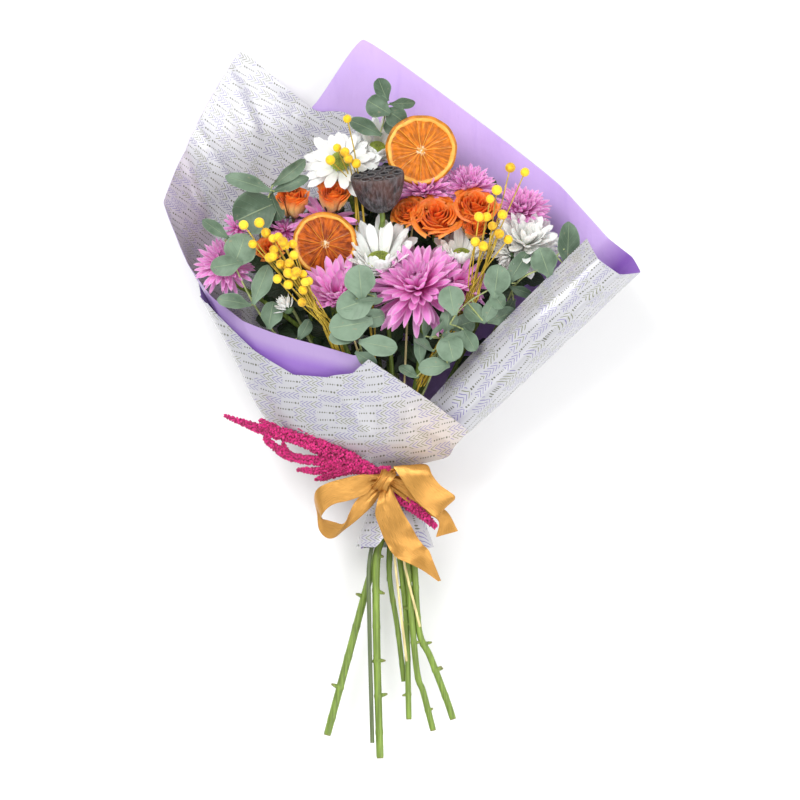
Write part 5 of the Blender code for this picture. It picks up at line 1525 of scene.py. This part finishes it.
def ribbon_strip(form, maps, rows, per_row, draw, pleats):
    """One run of ribbon between two edges, gathered at its first and last rows."""
    left = [seen(*row[:3]) for row in rows]
    right = [seen(*row[3:]) for row in rows]
    count = per_row * (len(rows) - 1)
    pocket = Pocket(16, count)
    s, t, side = pocket.s, pocket.t, pocket.side
    ts = np.linspace(0, len(rows) - 1, count + 1)
    one = np.array([spline(left, v) for v in ts])
    two = np.array([spline(right, v) for v in ts])
    line = (one + two) / 2
    sides = (two - one) / 2
    ahead = np.gradient(line, axis=0)
    up = np.cross(sides, ahead)
    up /= np.maximum(np.linalg.norm(up, axis=1, keepdims=True), 1e-9)
    for k in range(1, len(up)):
        if up[k] @ up[k - 1] < 0:
            up[k] = -up[k]
    i = np.rint(t * count).astype(int)
    lengths = along_line(line)
    gather = (np.exp(-lengths / PLEAT_RUN) * pleats[0]
              + np.exp(-(lengths[-1] - lengths) / PLEAT_RUN) * pleats[1])[i]
    phase = draw.uniform(0, math.tau)
    fold = gather * (1.5 * np.sin(s * 7.0 + phase) + 0.7 * np.sin(s * 13.0 + phase))
    far = lengths[i]
    swell = 1.3 * np.sin(far / 13.0 + s * 1.3 + phase) + 0.5 * np.sin(far / 6.0 - s * 2.0)
    lift = fold + swell * (1 - gather.clip(0, 1)) + side * RIBBON_THICK / 2
    places = line[i] + sides[i] * s[:, None] + up[i] * lift[:, None]
    form.add(places, pocket.faces)
    maps.append(np.stack([s * RIBBON_WIDTH / 2, far], axis=1))


def ribbon_piece(form, maps, finish):
    """The ribbon in one piece, with its weave map."""
    piece = form.make("ribbon_satin", ["ribbon_bow"], "satin", [finish], 60)
    lay_map(piece.data, "weave", np.concatenate(maps))
    return piece


class BOUQUET_OT_papers(bpy.types.Operator):
    """Lay the two sheets of wrapping paper"""
    bl_idname = "bouquet.papers"
    bl_label = "Wrapping papers"

    def execute(self, context):
        colours = context.scene.bouquet_colours
        # Both sheets are one paper: each finish's share lightens or darkens it as painted light,
        # and the sprig finishes' last colours are painted shade
        paper_sheet("outer_wrap", "paper_outer",
                    [lilac_finish("lilac_outer", colours, 0.95),
                     sprig_finish("sprig_outer", colours, 0.62, (0.56, 0.41, 0.30))],
                    **SHEETS["outer_wrap"])
        paper_sheet("inner_wrap", "paper_inner",
                    [sprig_finish("sprig_inner", colours, 0.90, (0.30, 0.22, 0.30)),
                     lilac_finish("lilac_inner", colours, 0.6)],
                    **SHEETS["inner_wrap"])
        return {"FINISHED"}


class BOUQUET_OT_pink_blooms(bpy.types.Operator):
    """Layer the petals of the pink chrysanthemums"""
    bl_idname = "bouquet.pink_blooms"
    bl_label = "Pink chrysanthemums"

    def execute(self, context):
        colours = context.scene.bouquet_colours
        width = context.scene.bouquet_sizes.petal_width
        petal = petal_finish("pink_petal", colours.pink_tip, colours.pink_base,
                             colours.pink_edge, (0.55, 0.16, 0.48), (0.28, 0.02, 0.16))
        middle = lump_finish("green_middle", (0.12, 0.16, 0.02), (0.03, 0.05, 0.01), 500.0, 0.001)
        pocket = Pocket(4, 9)
        shape = petal_shape(0.42, 0.66, 2.0)
        for name, heads in PINK_BLOOMS.items():
            draw = draws_for(name)
            form = Form()
            for head, (*place, kind, deep) in zip(HEADS[name], heads):
                add_ball(form, head.centre, 0.1 * head.radius, 0.7, head.turn, finish=1, tint=0.3)
                add_petals(form, name, head, kind, width, pocket, shape, draw, 0.6, 0.7, deep)
            form.make(f"{name}_petals", [name], "pink", [petal, middle], 55)
        return {"FINISHED"}


class BOUQUET_OT_white_blooms(bpy.types.Operator):
    """Layer the petals of the white daisies and fill their middles"""
    bl_idname = "bouquet.white_blooms"
    bl_label = "White daisies"

    def execute(self, context):
        colours = context.scene.bouquet_colours
        white = colours.white_petal
        width = context.scene.bouquet_sizes.white_width
        petal = petal_finish("white_petal", white, (0.97, 0.97, 0.90), (0.99, 0.99, 0.98),
                             white, white, 0.3, 0.06)
        lime = lump_finish("lime_florets", colours.lime, (0.12, 0.16, 0.01), 600.0, 0.001)
        green = foliage_finish(colours)
        pocket = Pocket(6, 10)
        shape = petal_shape(0.38, 0.62, 3.0)
        for name, heads in WHITE_BLOOMS.items():
            draw = draws_for(name)
            form = Form()
            for head, (*place, kind, deep) in zip(HEADS[name], heads):
                add_ball(form, head.centre, 0.18 * head.radius, 0.5, head.turn, tint=0.5,
                         along=0.1)
                add_petals(form, name, head, kind, width, pocket, shape, draw, 0.35, 0.7, deep)
                if kind == "fan":
                    self.front_petals(form, head, pocket, shape, draw, width)
            for foot, length, facing in SIDE_BUDS.get(name, []):
                self.side_bud(form, Head(foot, length, facing), draw)
            form.make(f"{name}_petals", [name], "white", [petal, green], 55)
            self.florets(name, lime)
        return {"FINISHED"}

    def front_petals(self, form, head, pocket, shape, draw, width):
        """Short petals that stand up before the disc and hide its lower half."""
        for k in range(13):
            turn = math.radians(14 + 12.7 * k + draw.uniform(-4, 4))
            points = pocket.bent(head.radius * draw.uniform(0.26, 0.38),
                                 lambda t: 0.40 * width * head.radius * shape(t),
                                 math.radians(draw.uniform(62, 84)), 0.5, 0.3, 0.7)
            points = head.place(turn_about_z(points + (0.22 * head.radius, 0, 0), turn))
            pocket.add_to(form, points, along=0.4 + 0.6 * pocket.t, tint=draw.random())

    def side_bud(self, form, bud, draw):
        """A half-open bud: narrow petals that stand out of a green cup."""
        add_ball(form, bud.centre, 0.3 * bud.radius, 0.8, bud.turn, finish=1, tint=0.9, along=0.3)
        pocket = Pocket(2, 6)
        shape = petal_shape(0.6, 0.6, 1.6)
        for k in range(26):
            turn = k * SPIRAL_TURN
            rise = math.radians(18 + 62 * k / 26 + draw.uniform(-6, 6))
            points = pocket.bent(bud.radius * draw.uniform(0.8, 1.0),
                                 lambda t: 0.09 * bud.radius * shape(t), rise,
                                 draw.uniform(0.1, 0.5), 0.4, 0.5)
            pocket.add_to(form, bud.place(turn_about_z(points, turn)),
                          along=0.1 + 0.9 * pocket.t, tint=draw.random())
        for k in range(9):
            points = pocket.bent(0.5 * bud.radius, lambda t: 0.1 * bud.radius * shape(t),
                                 math.radians(25), 0.4, 0.4, 0.5)
            pocket.add_to(form, bud.place(turn_about_z(points, math.tau * k / 9)), 1, tint=0.9)

    def florets(self, name, lime):
        """The dome of tiny florets, set out in a spiral."""
        head = HEADS[name][0]
        form = Form()
        radius = (0.12 if name == "white_bloom_5" else 0.24) * head.radius
        base = 0.06 * head.radius + GAP
        add_ball(form, head.place([[0, 0, base + 0.2 * radius]])[0], 0.9 * radius, 0.7,
                 head.turn, rings=8, tint=0.0)
        for k in range(FLORETS):
            share = math.sqrt((k + 0.5) / FLORETS)
            turn = k * SPIRAL_TURN
            up = base + 0.2 * radius + 0.66 * radius * math.sqrt(max(0.0, 1 - share * share))
            place = head.place([[1.05 * radius * share * math.cos(turn),
                                 1.05 * radius * share * math.sin(turn), up]])[0]
            add_ball(form, place, 0.085 * radius + 0.12, 1.3, head.turn, rings=3, tint=share)
        node = name.replace("bloom", "disc")
        form.make(f"{node}_florets", [node], "lime", [lime], 60)


class BOUQUET_OT_roses(bpy.types.Operator):
    """Wrap the petals of the orange roses"""
    bl_idname = "bouquet.roses"
    bl_label = "Orange roses"

    def execute(self, context):
        colours = context.scene.bouquet_colours
        # The rose's deep colours are painted shade between the petals, and its edge colour a
        # painted highlight on the rims
        petal = petal_finish("rose_petal", colours.rose, colours.rose_base, colours.rose_edge,
                             (0.85, 0.09, 0.008), (0.6, 0.05, 0.01), 0.25, 0.12)
        green = foliage_finish(colours)
        for name in ROSES:
            self.rose(name, [petal, green])
        return {"FINISHED"}

    def rose(self, name, finishes):
        """One rose: petals in a spiral, each with a curled rim, and pointed sepals."""
        head = HEADS[name][0]
        size = head.radius
        draw = random.Random(SEED + 13 * int(name[-1]))
        bud = ROSES[name][3] == "bud"
        pocket = Pocket(12, 10)
        s, t, side = pocket.s, pocket.t, pocket.side
        form = Form()
        count = 18 if bud else 26
        turn = draw.uniform(0, math.tau)
        for k in range(count):
            out = k / (count - 1)
            turn += 2.25 + draw.uniform(-0.3, 0.3)
            reach = (0.10 + (0.66 if bud else 0.84) * out ** 0.85) * size
            foot = (0.05 + 0.28 * out) * size
            low = (-0.85 + 0.1 * out) * size
            top = ((0.75 if bud else 0.5) - (0.12 if bud else 0.34) * out) * size
            wide = math.radians(draw.uniform(60, 76) if out < 0.5 else draw.uniform(50, 62))
            curl = (0.04 + 0.15 * out) * size * (0.7 if bud else 1.0)
            rim = np.clip((t - 0.76) / 0.24, 0, 1) ** 1.5
            belly = np.sin(np.clip(t, 0, 1) * math.pi * 0.62) ** 0.8
            spread = 0.55 + 0.45 * np.sin(np.pi * np.clip(t + 0.12, 0, 1) * 0.75)
            around = turn + s * wide * spread
            away = foot + (reach - foot) * belly + curl * rim + 0.05 * size * s
            away = away + 0.035 * size * np.sin(4 * s + 5 * t + 2.1 * k) * t
            away = away + curl * 0.5 * rim * np.abs(s) ** 3 + side * 0.3
            up = low + (top - low) * t - curl * 0.9 * rim ** 2
            point = 1 - 0.55 * np.abs(s) ** 1.5
            up = up - (0.30 - 0.08 * out) * size * (1 - point) * t
            up = up + 0.03 * size * np.sin(6 * s + 1.7 * k) * t
            points = np.stack([away * np.cos(around), away * np.sin(around), up], axis=1)
            # deep paints shade on the inner petals, most at the heart
            form.add(head.place(points), pocket.faces,
                     along=np.clip((-0.3 if bud else 0.30) + 0.95 * t, 0, 1),
                     across=s * t * 0.8, tint=draw.uniform(0.1, 1.0), deep=0.75 * (1 - out) ** 2)
        leaf = Pocket(4, 7)
        shape = petal_shape(0.8, 0.25, 1.4)
        for k in range(5):
            at = math.tau * k / 5 + draw.uniform(-0.2, 0.2)
            points = leaf.bent(0.95 * size, lambda t: 0.16 * size * shape(t), 0.75,
                               draw.uniform(-0.4, 0.5), 0.3, 0.5) + (0.2 * size, 0, -0.85 * size)
            leaf.add_to(form, head.place(turn_about_z(points, at)), 1, tint=1.0)
        form.make(f"{name}_petals", [name], "orange_petal", finishes, 60)


class BOUQUET_OT_slices(bpy.types.Operator):
    """Cut the dried orange slices and their sticks"""
    bl_idname = "bouquet.slices"
    bl_label = "Dried orange slices"

    def execute(self, context):
        colours = context.scene.bouquet_colours
        finish = slice_finish(colours)
        straw = stem_finish("dry_stick", colours.straw, colours.straw, 0.6)
        for name in SLICES:
            self.slice(name, finish)
        for name, (owner, slot, way, seat) in SLICE_STICKS.items():
            end = HEADS[owner][0].place([(*seat, -0.35 * SLICE_THICK - 1.0 - GAP)])[0]
            line = curve(through_tie(slot, 26, 0) + way + [end], 6.0)
            form = Form()
            add_tube(form, line, 1.0, 8, node=0.0)
            form.make(f"{name}_wood", [name], "straw", [straw])
        return {"FINISHED"}

    def plate(self):
        """A round plate, both of its faces inset ring by ring down to a middle point."""
        plate = primitive(bpy.ops.mesh.primitive_cylinder_add, vertices=180, radius=1.0,
                          depth=0.1, end_fill_type="NGON")
        bpy.ops.object.mode_set(mode="EDIT")
        bpy.ops.mesh.select_mode(type="FACE")
        bpy.ops.mesh.select_all(action="DESELECT")
        bpy.ops.object.mode_set(mode="OBJECT")
        for face in plate.data.polygons:
            face.select = abs(face.normal.z) > 0.9
        bpy.ops.object.mode_set(mode="EDIT")
        for step in [0.02] * 8 + [0.035] * 22:
            bpy.ops.mesh.inset(thickness=step, depth=0.0, use_even_offset=False)
        bpy.ops.mesh.poke()
        bpy.ops.object.mode_set(mode="OBJECT")
        return arrays_of(plate)

    def slice(self, name, finish):
        """A slice: flesh that is sunk between its membranes, and a rounded rim."""
        radius = HEADS[name][0].radius
        segments, shade = SLICES[name][3:]
        draw = random.Random(SEED + segments)
        points, faces = self.plate()
        ring = np.hypot(points[:, 0], points[:, 1])
        turn = np.arctan2(points[:, 1], points[:, 0])
        side = np.sign(points[:, 2])
        bow = 0.02 * np.sin(9 * ring + 2.0)
        away = np.full(len(ring), 9.0)
        for k in range(segments):
            membrane = math.tau * (k + draw.uniform(-0.2, 0.2)) / segments
            offset = turn + bow - membrane
            across = np.where(np.cos(offset) > 0, np.abs(np.sin(offset)) * ring, 9.0)
            away = np.minimum(away, across)
        flesh = np.clip((away * radius - 0.12) / 0.7, 0, 1)
        scallop = 0.845 + 0.02 * np.cos(2 * np.pi * away * segments / math.tau)
        flesh = flesh * np.clip((ring - 0.07) / 0.05, 0, 1)
        flesh = flesh * np.clip((scallop - ring) / 0.025, 0, 1)
        bumps = np.array([noise.noise(Vector((x * 11, y * 11, 3.0 * z)))
                          for x, y, z in zip(points[:, 0], points[:, 1], side)])
        height = 0.72 - 0.34 * flesh + 0.2 * bumps * flesh
        rim = np.clip((ring - 0.86) / 0.06, 0, 1)
        height = height * (1 - rim) + rim * (1.0 - 0.55 * np.clip((ring - 0.93) / 0.07, 0, 1) ** 2)
        warp = 0.9 * np.sin(2 * turn + 0.6) * ring ** 2
        wave = 1.0 + 0.012 * np.sin(3 * turn) + 0.006 * np.sin(11 * turn)
        made = np.stack([radius * wave * points[:, 0], radius * wave * points[:, 1],
                         side * height * SLICE_THICK / 2 + 0.5 * warp], axis=1)
        form = Form()
        form.add(HEADS[name][0].place(made), faces, ring=ring, flesh=flesh,
                 turn_x=np.cos(turn), turn_y=np.sin(turn), shade=shade)
        form.make(f"{name}_dried", [name], "dried_orange", [finish], 60)


class BOUQUET_OT_pod(bpy.types.Operator):
    """Raise the dried lotus pod on its stem"""
    bl_idname = "bouquet.pod"
    bl_label = "Lotus pod"

    def execute(self, context):
        colours = context.scene.bouquet_colours
        finish = pod_finish(colours)
        turn = facing_turn(POD_AXIS)
        pod = self.cup()
        for x, y in POD_PITS:
            cutter = primitive(bpy.ops.mesh.primitive_cylinder_add, vertices=24, radius=4.1,
                               depth=16.0, location=(x * POD_RADIUS, y * POD_RADIUS, 1.0))
            bpy.ops.transform.resize(value=(1, POD_PIT_LONG, 1))
            apply_modifier(pod, "BOOLEAN", operation="DIFFERENCE", object=cutter, solver="EXACT")
            bpy.data.objects.remove(cutter, do_unlink=True)
        points, faces = arrays_of(pod)
        rim = 0.15 * np.clip((points[:, 2] / POD_LENGTH + 0.06) / 0.05, 0, 1)
        form = Form()
        form.add(points @ turn.T + POD_TOP, faces, rim=rim)
        for x, y in POD_PITS:
            seat = np.array([x * POD_RADIUS, y * POD_RADIUS, -6.5])
            add_ball(form, turn @ seat + POD_TOP, 2.6, 1.0, turn, rings=6)
            ring, sides = arrays_of(primitive(bpy.ops.mesh.primitive_torus_add,
                                              major_segments=20, minor_segments=8,
                                              major_radius=4.2, minor_radius=0.4))
            ring = ring * (1, POD_PIT_LONG, 1.2) + (x * POD_RADIUS, y * POD_RADIUS, 0.1)
            form.add(ring @ turn.T + POD_TOP, sides, rim=1.0)
        form.make("lotus_pod_cup", ["lotus_pod"], "pod_brown", [finish], 40)
        foot = POD_TOP - np.array(POD_AXIS) * (POD_LENGTH + GAP)
        line = curve([(3.6, -255, 36), (-2, -208, 36), (-10, -150, 36),
                      tie_slot((0, MID), -84), tie_slot((0, MID), -56), (-6, -20, 38),
                      (-14, 90, 48), (-18, 140, 76), foot - np.array(POD_AXIS) * 8.0, foot], 4.0)
        mark = node_mark(along_line(line), 14, 30, 120)
        stalk = Form()
        add_tube(stalk, line, 2.5 * (1 + 0.15 * mark), node=0.5 * mark)
        stem = stem_finish("lotus_stalk", toned(colours.stem, 0.8), (0.35, 0.22, 0.08))
        stalk.make("lotus_stalk", ["lotus_stem"], "stem_green", [stem])
        return {"FINISHED"}

    def cup(self):
        """The cup: a circle drawn up its axis, ring by ring, with soft ridges."""
        cup = primitive(bpy.ops.mesh.primitive_circle_add, vertices=120, radius=1.0,
                        fill_type="NGON")
        bpy.ops.object.mode_set(mode="EDIT")
        bpy.ops.mesh.select_all(action="SELECT")
        bpy.ops.transform.resize(value=[POD_RADIUS * POD_PROFILE[0][0]] * 3)
        bpy.ops.transform.translate(value=(0, 0, POD_LENGTH * POD_PROFILE[0][1]))
        for (share, along), (wide, high) in zip(POD_PROFILE, POD_PROFILE[1:]):
            bpy.ops.mesh.extrude_region_move()
            bpy.ops.transform.resize(value=[wide / share] * 3)
            bpy.ops.transform.translate(value=(0, 0, POD_LENGTH * (high - along)))
        bpy.ops.mesh.select_all(action="SELECT")
        bpy.ops.mesh.normals_make_consistent(inside=False)
        bpy.ops.object.mode_set(mode="OBJECT")
        points = points_of(cup)
        turn = np.arctan2(points[:, 1], points[:, 0])
        low = np.clip(-points[:, 2] / POD_LENGTH - 0.05, 0, 1) ** 0.6
        ridge = 1 + 0.05 * low * np.abs(np.sin(9.0 * turn)) + 0.025 * low * np.sin(31 * turn)
        wobble = 1 + 0.02 * np.sin(3 * turn + 1)
        points[:, :2] *= (ridge * wobble)[:, None]
        cup.data.vertices.foreach_set("co", points.ravel())
        cup.data.update()
        return cup


class BOUQUET_OT_stems(bpy.types.Operator):
    """Run the green stems from their cut ends to the heads"""
    bl_idname = "bouquet.stems"
    bl_label = "Stems and straws"

    def execute(self, context):
        colours = context.scene.bouquet_colours
        stem = stem_finish("green_stem", colours.stem, (0.20, 0.17, 0.05))
        straw = stem_finish("dry_straw", colours.straw, (0.5, 0.4, 0.2), 0.6)
        foliage = foliage_finish(colours)
        leaf = Pocket(6, 12)
        for name in STEM_RUNS:
            draw = draws_for(name)
            form = Form()
            add_stem(form, name, draw, leaf)
            form.make(f"{name}_run", [name], "stem_green", [stem, foliage], 50)
        for name, points in STRAWS.items():
            form = Form()
            add_tube(form, curve(points, 5.0), 1.2, 8, node=0.0)
            form.make(f"{name}_run", [name], "straw", [straw])
        return {"FINISHED"}


class BOUQUET_OT_eucalyptus(bpy.types.Operator):
    """Set the eucalyptus leaves along their stems"""
    bl_idname = "bouquet.eucalyptus"
    bl_label = "Eucalyptus"

    def execute(self, context):
        colours = context.scene.bouquet_colours
        leaf = leaf_finish(colours)
        stem = stem_finish("eucalyptus_stem", (0.36, 0.42, 0.16), (0.02, 0.05, 0.02))
        pocket = Pocket(10, 14)
        for name in SPRAYS:
            self.spray(name, pocket, [leaf, stem])
        return {"FINISHED"}

    def spray(self, name, pocket, finishes):
        """One spray: its stem, and each leaf on a short stalk."""
        slot, radius, ends, way, pale, leaves = SPRAYS[name]
        draw = random.Random(SEED + int(name[-1]))
        line = curve(ends + through_tie(slot, 10, 10) + way, 5.0)
        sizes = np.full(len(line), float(radius))
        taper = line[:, 1] > TIE[1] + 40
        sizes[taper] = np.linspace(radius, 0.65, np.count_nonzero(taper))
        form = Form()
        low = np.clip((TIE[1] - line[:, 1]) / 25.0, 0, 1)
        add_tube(form, line, sizes, 8, 1, node=low)
        top = line[line[:, 1] > way[-4][1]]
        for across, down, high, length, wide, turn, tip, shade in leaves:
            length, wide = STEP * length, STEP * wide
            middle = seen(across, down, high)
            turn, tip = math.radians(turn), math.radians(tip)
            ahead = np.array((math.cos(turn), math.sin(turn), 0.0))
            base = middle - ahead * length / 2 - (0, 0, 1.5)
            half = wide / 2 / max(math.cos(tip), 0.36)
            shape = petal_shape(0.22, 0.46 + 0.08 * draw.random(), 2.2)
            bend = draw.uniform(0.05, 0.35)
            points = pocket.bent(length * 1.03, lambda t: half * shape(t), bend, -2 * bend,
                                 draw.uniform(0.1, 0.35), 0.6, draw.uniform(-0.2, 0.2),
                                 0.7 * np.sin(3 * pocket.t * math.pi + turn) * pocket.s ** 2)
            c, s = math.cos(tip), math.sin(tip)
            points = points @ np.array([[1, 0, 0], [0, c, s], [0, -s, c]])
            pocket.add_to(form, turn_about_z(points, turn) + base, tint=0.55 * pale + 0.45 * shade)
            root = top[np.argmin(np.linalg.norm(top - base, axis=1))]
            add_tube(form, [root, (root + base) / 2 + (0, 0, 0.6), base + ahead * 2],
                     (0.75, 0.7, 0.6), 6, 1, node=0.0)
        form.make(f"{name}_leaves", [name], "eucalyptus", finishes, 50)


class BOUQUET_OT_yellow_balls(bpy.types.Operator):
    """Hold up the small yellow balls on their stalks"""
    bl_idname = "bouquet.yellow_balls"
    bl_label = "Yellow balls"

    def execute(self, context):
        colours = context.scene.bouquet_colours
        felt = lump_finish("yellow_felt", colours.ball, (0.50, 0.24, 0.0), 260.0, 0.003)
        stalk = stem_finish("yellow_stalk", (0.50, 0.35, 0.03), (0.5, 0.4, 0.1), 0.5)
        for name, (slot, way, parting, balls) in BUNCHES.items():
            draw = random.Random(SEED + len(name))
            form = Form()
            line = curve(through_tie(slot, 26, 0) + way + parting[:1], 6.0)
            add_tube(form, line, 1.0, 8, 1, node=0.0)
            start, end, low = (np.array(p, float) for p in (*parting, way[-2]))
            run = end - start
            for middle in balls:
                middle = np.array(middle, float)
                turn = facing_turn((draw.uniform(-1, 1), draw.uniform(-1, 1), 1))
                add_ball(form, middle, BALL_RADIUS * draw.uniform(0.86, 1.06), 0.94, turn, 0, 10,
                         tint=draw.uniform(0.3, 1.0))
                loose = np.array([draw.uniform(-1, 1) for k in range(3)])
                share = np.clip((middle - start) @ run / (run @ run), 0, 1)
                root = start + run * 0.35 * share + loose * (6.0, 2.0, 3.0)
                bow = curve([low + loose * (4.0, 4.0, 2.5), start + loose * (6.0, 2.0, 3.0), root,
                             (root + middle) / 2 + loose * 1.5, middle], 5.0)
                add_tube(form, bow, 0.6, 6, 1, node=0.0)
            form.make(f"{name}_bunch", [name], "yellow", [felt, stalk], 60)
        return {"FINISHED"}


class BOUQUET_OT_amaranthus(bpy.types.Operator):
    """Hang the knobbly magenta tassels"""
    bl_idname = "bouquet.amaranthus"
    bl_label = "Amaranthus"

    def execute(self, context):
        colours = context.scene.bouquet_colours
        finish = lump_finish("amaranth_knobs", colours.amaranth, (0.30, 0.0, 0.07), 900.0, 0.001)
        draw = random.Random(SEED)
        knob_radius = context.scene.bouquet_sizes.knob / MM
        knob, faces = arrays_of(primitive(bpy.ops.mesh.primitive_ico_sphere_add,
                                          subdivisions=1, radius=1.0))
        form = Form()
        for rows in TASSELS:
            given = np.array([seen(*row[:3]) for row in rows])
            line = curve(given, 3.0)
            given = along_line(given)
            places = along_line(line)
            radii = np.interp(places, given * places[-1] / given[-1],
                              [0.45 * row[3] for row in rows]) * 0.86
            add_tube(form, line, 0.7 * radii, 8, tint=0.0)
            at = 0.0
            while at < places[-1]:
                middle = at_distance(line, places, at)
                ahead = at_distance(line, places, min(at + 2, places[-1])) - middle
                ahead = unit(ahead + (1e-6, 0, 0))
                wide = np.interp(at, places, radii)
                side = unit(np.cross(ahead, (draw.uniform(-1, 1), draw.uniform(-1, 1),
                                             draw.uniform(-1, 1))))
                size = knob_radius * draw.uniform(0.55, 1.15) * min(1.0, 0.6 + wide / 12.0)
                turn = facing_turn(side + 0.4 * ahead)
                points = (knob * (size, size, 1.3 * size)) @ turn.T
                form.add(points + middle + side * wide * draw.uniform(0.7, 1.08), faces,
                         tint=draw.random())
                at += 1.6 / (math.tau * max(wide, 1.0))
        form.make("amaranthus_tassels", ["amaranthus"], "magenta", [finish], 80)
        return {"FINISHED"}


class BOUQUET_OT_ribbon(bpy.types.Operator):
    """Tie the satin ribbon in its bow"""
    bl_idname = "bouquet.ribbon"
    bl_label = "Satin ribbon"

    def execute(self, context):
        colours = context.scene.bouquet_colours
        draw = random.Random(SEED)
        form = Form()
        maps = []
        ring = []
        for k in range(13):
            turn = math.tau * k / 12 + math.pi / 2
            place = (TIE[0] + (BAND_RX + 0.3) * math.cos(turn), TIE[1] - 2.0,
                     TIE[2] + BAND_RISE + (BAND_RZ + 0.3) * math.sin(turn))
            ring.append(picture(place, BAND_WIDTH / 2) + picture(place, -BAND_WIDTH / 2))
        ribbon_strip(form, maps, ring, 6, draw, (0, 0))
        for name, rows in RIBBON_RUNS.items():
            ribbon_strip(form, maps, rows, 8, draw, (1, 1) if "loop" in name else (1, 0))
        self.knot(form, maps, draw)
        piece = ribbon_piece(form, maps, satin_finish(colours))
        return {"FINISHED"}

    def knot(self, form, maps, draw):
        """The knot: a band wound once round the crossing, pulled into pleats."""
        centre = seen(*KNOT)
        ahead = unit(np.array((0.5, 0.86, 0.0)))
        across = np.array((ahead[1], -ahead[0], 0.0)) * 6.5
        rows = []
        for k in range(13):
            turn = math.tau * k / 12
            middle = centre + ahead * 9.5 * math.cos(turn) + (0, 0, 6.5 * math.sin(turn))
            wide = across * (1.0 + 0.12 * math.sin(3 * turn))
            rows.append(picture(middle - wide) + picture(middle + wide))
        ribbon_strip(form, maps, rows, 6, draw, (0.0, 0.0))
        points = form.points[-1]
        s = maps[-1][:, 0] / RIBBON_WIDTH * 2
        pleat = 0.8 * np.sin(s * 9.0 + 0.6) + 0.4 * np.sin(s * 17.0)
        form.points[-1] = points + (points - centre) / 9.0 * pleat[:, None] * 0.9
        add_ball(form, centre, 6.6, 0.8, None, rings=12)
        maps.append(np.zeros((len(form.points[-1]), 2)))


class BOUQUET_OT_stage(bpy.types.Operator):
    """Set the floor, the lights and the camera"""
    bl_idname = "bouquet.stage"
    bl_label = "Stage"

    def execute(self, context):
        scene = context.scene
        floor = primitive(bpy.ops.mesh.primitive_plane_add, size=6.0, location=(0, 0, 0))
        floor.name = "pale_floor"
        floor.data.materials.append(floor_finish(scene.bouquet_colours))
        for name, place, size, power in LIGHTS:
            light = bpy.data.lights.new(name, "AREA")
            light.shape = "DISK"
            light.size = size
            light.energy = power
            lamp = bpy.data.objects.new(name, light)
            lamp.location = place
            lamp.rotation_euler = (-Vector(place)).to_track_quat("-Z", "Y").to_euler()
            scene.collection.objects.link(lamp)
        world = bpy.data.worlds.new("studio")
        world.use_nodes = True
        sky = world.node_tree.nodes["Background"]
        sky.inputs["Color"].default_value = (1.0, 1.0, 1.0, 1.0)
        sky.inputs["Strength"].default_value = SKY_STRENGTH
        scene.world = world
        camera = bpy.data.cameras.new("view")
        camera.lens = LENS
        camera.sensor_width = SENSOR
        camera.clip_end = 100.0
        viewer = bpy.data.objects.new("view", camera)
        height = SEEN_PLANE + scene.bouquet_sizes.view_width * LENS / SENSOR
        viewer.location = (-ORIGIN[0] * MM, -ORIGIN[1] * MM - 0.0005, height)
        viewer.rotation_euler = (0.0, 0.0, 0.0)
        scene.collection.objects.link(viewer)
        scene.camera = viewer
        scene.view_settings.view_transform = "Standard"
        return {"FINISHED"}


class BOUQUET_PT_panel(bpy.types.Panel):
    """The bouquet's pieces in the 3D view's sidebar"""
    bl_idname = "BOUQUET_PT_panel"
    bl_label = "Bouquet"
    bl_space_type = "VIEW_3D"
    bl_region_type = "UI"
    bl_category = "Bouquet"

    def draw(self, context):
        for operator in OPERATORS:
            self.layout.operator(operator.bl_idname)
        for group in (context.scene.bouquet_sizes, context.scene.bouquet_colours):
            for key in group.bl_rna.properties.keys():
                if key not in ("rna_type", "name"):
                    self.layout.prop(group, key)


OPERATORS = (BOUQUET_OT_papers, BOUQUET_OT_pink_blooms, BOUQUET_OT_white_blooms,
             BOUQUET_OT_roses, BOUQUET_OT_slices, BOUQUET_OT_pod, BOUQUET_OT_stems,
             BOUQUET_OT_eucalyptus, BOUQUET_OT_yellow_balls, BOUQUET_OT_amaranthus,
             BOUQUET_OT_ribbon, BOUQUET_OT_stage)
CLASSES = (BouquetColours, BouquetSizes, *OPERATORS, BOUQUET_PT_panel)


def register():
    """Register the classes and their settings."""
    for made in CLASSES:
        bpy.utils.register_class(made)
    bpy.types.Scene.bouquet_colours = bpy.props.PointerProperty(type=BouquetColours)
    bpy.types.Scene.bouquet_sizes = bpy.props.PointerProperty(type=BouquetSizes)


def unregister():
    """Take the settings and the classes away."""
    del bpy.types.Scene.bouquet_sizes
    del bpy.types.Scene.bouquet_colours
    for made in reversed(CLASSES):
        bpy.utils.unregister_class(made)


def main():
    """Make every piece in order."""
    register()
    for operator in OPERATORS:
        getattr(bpy.ops.bouquet, operator.bl_idname.partition(".")[2])()


if __name__ == "__main__":
    main()
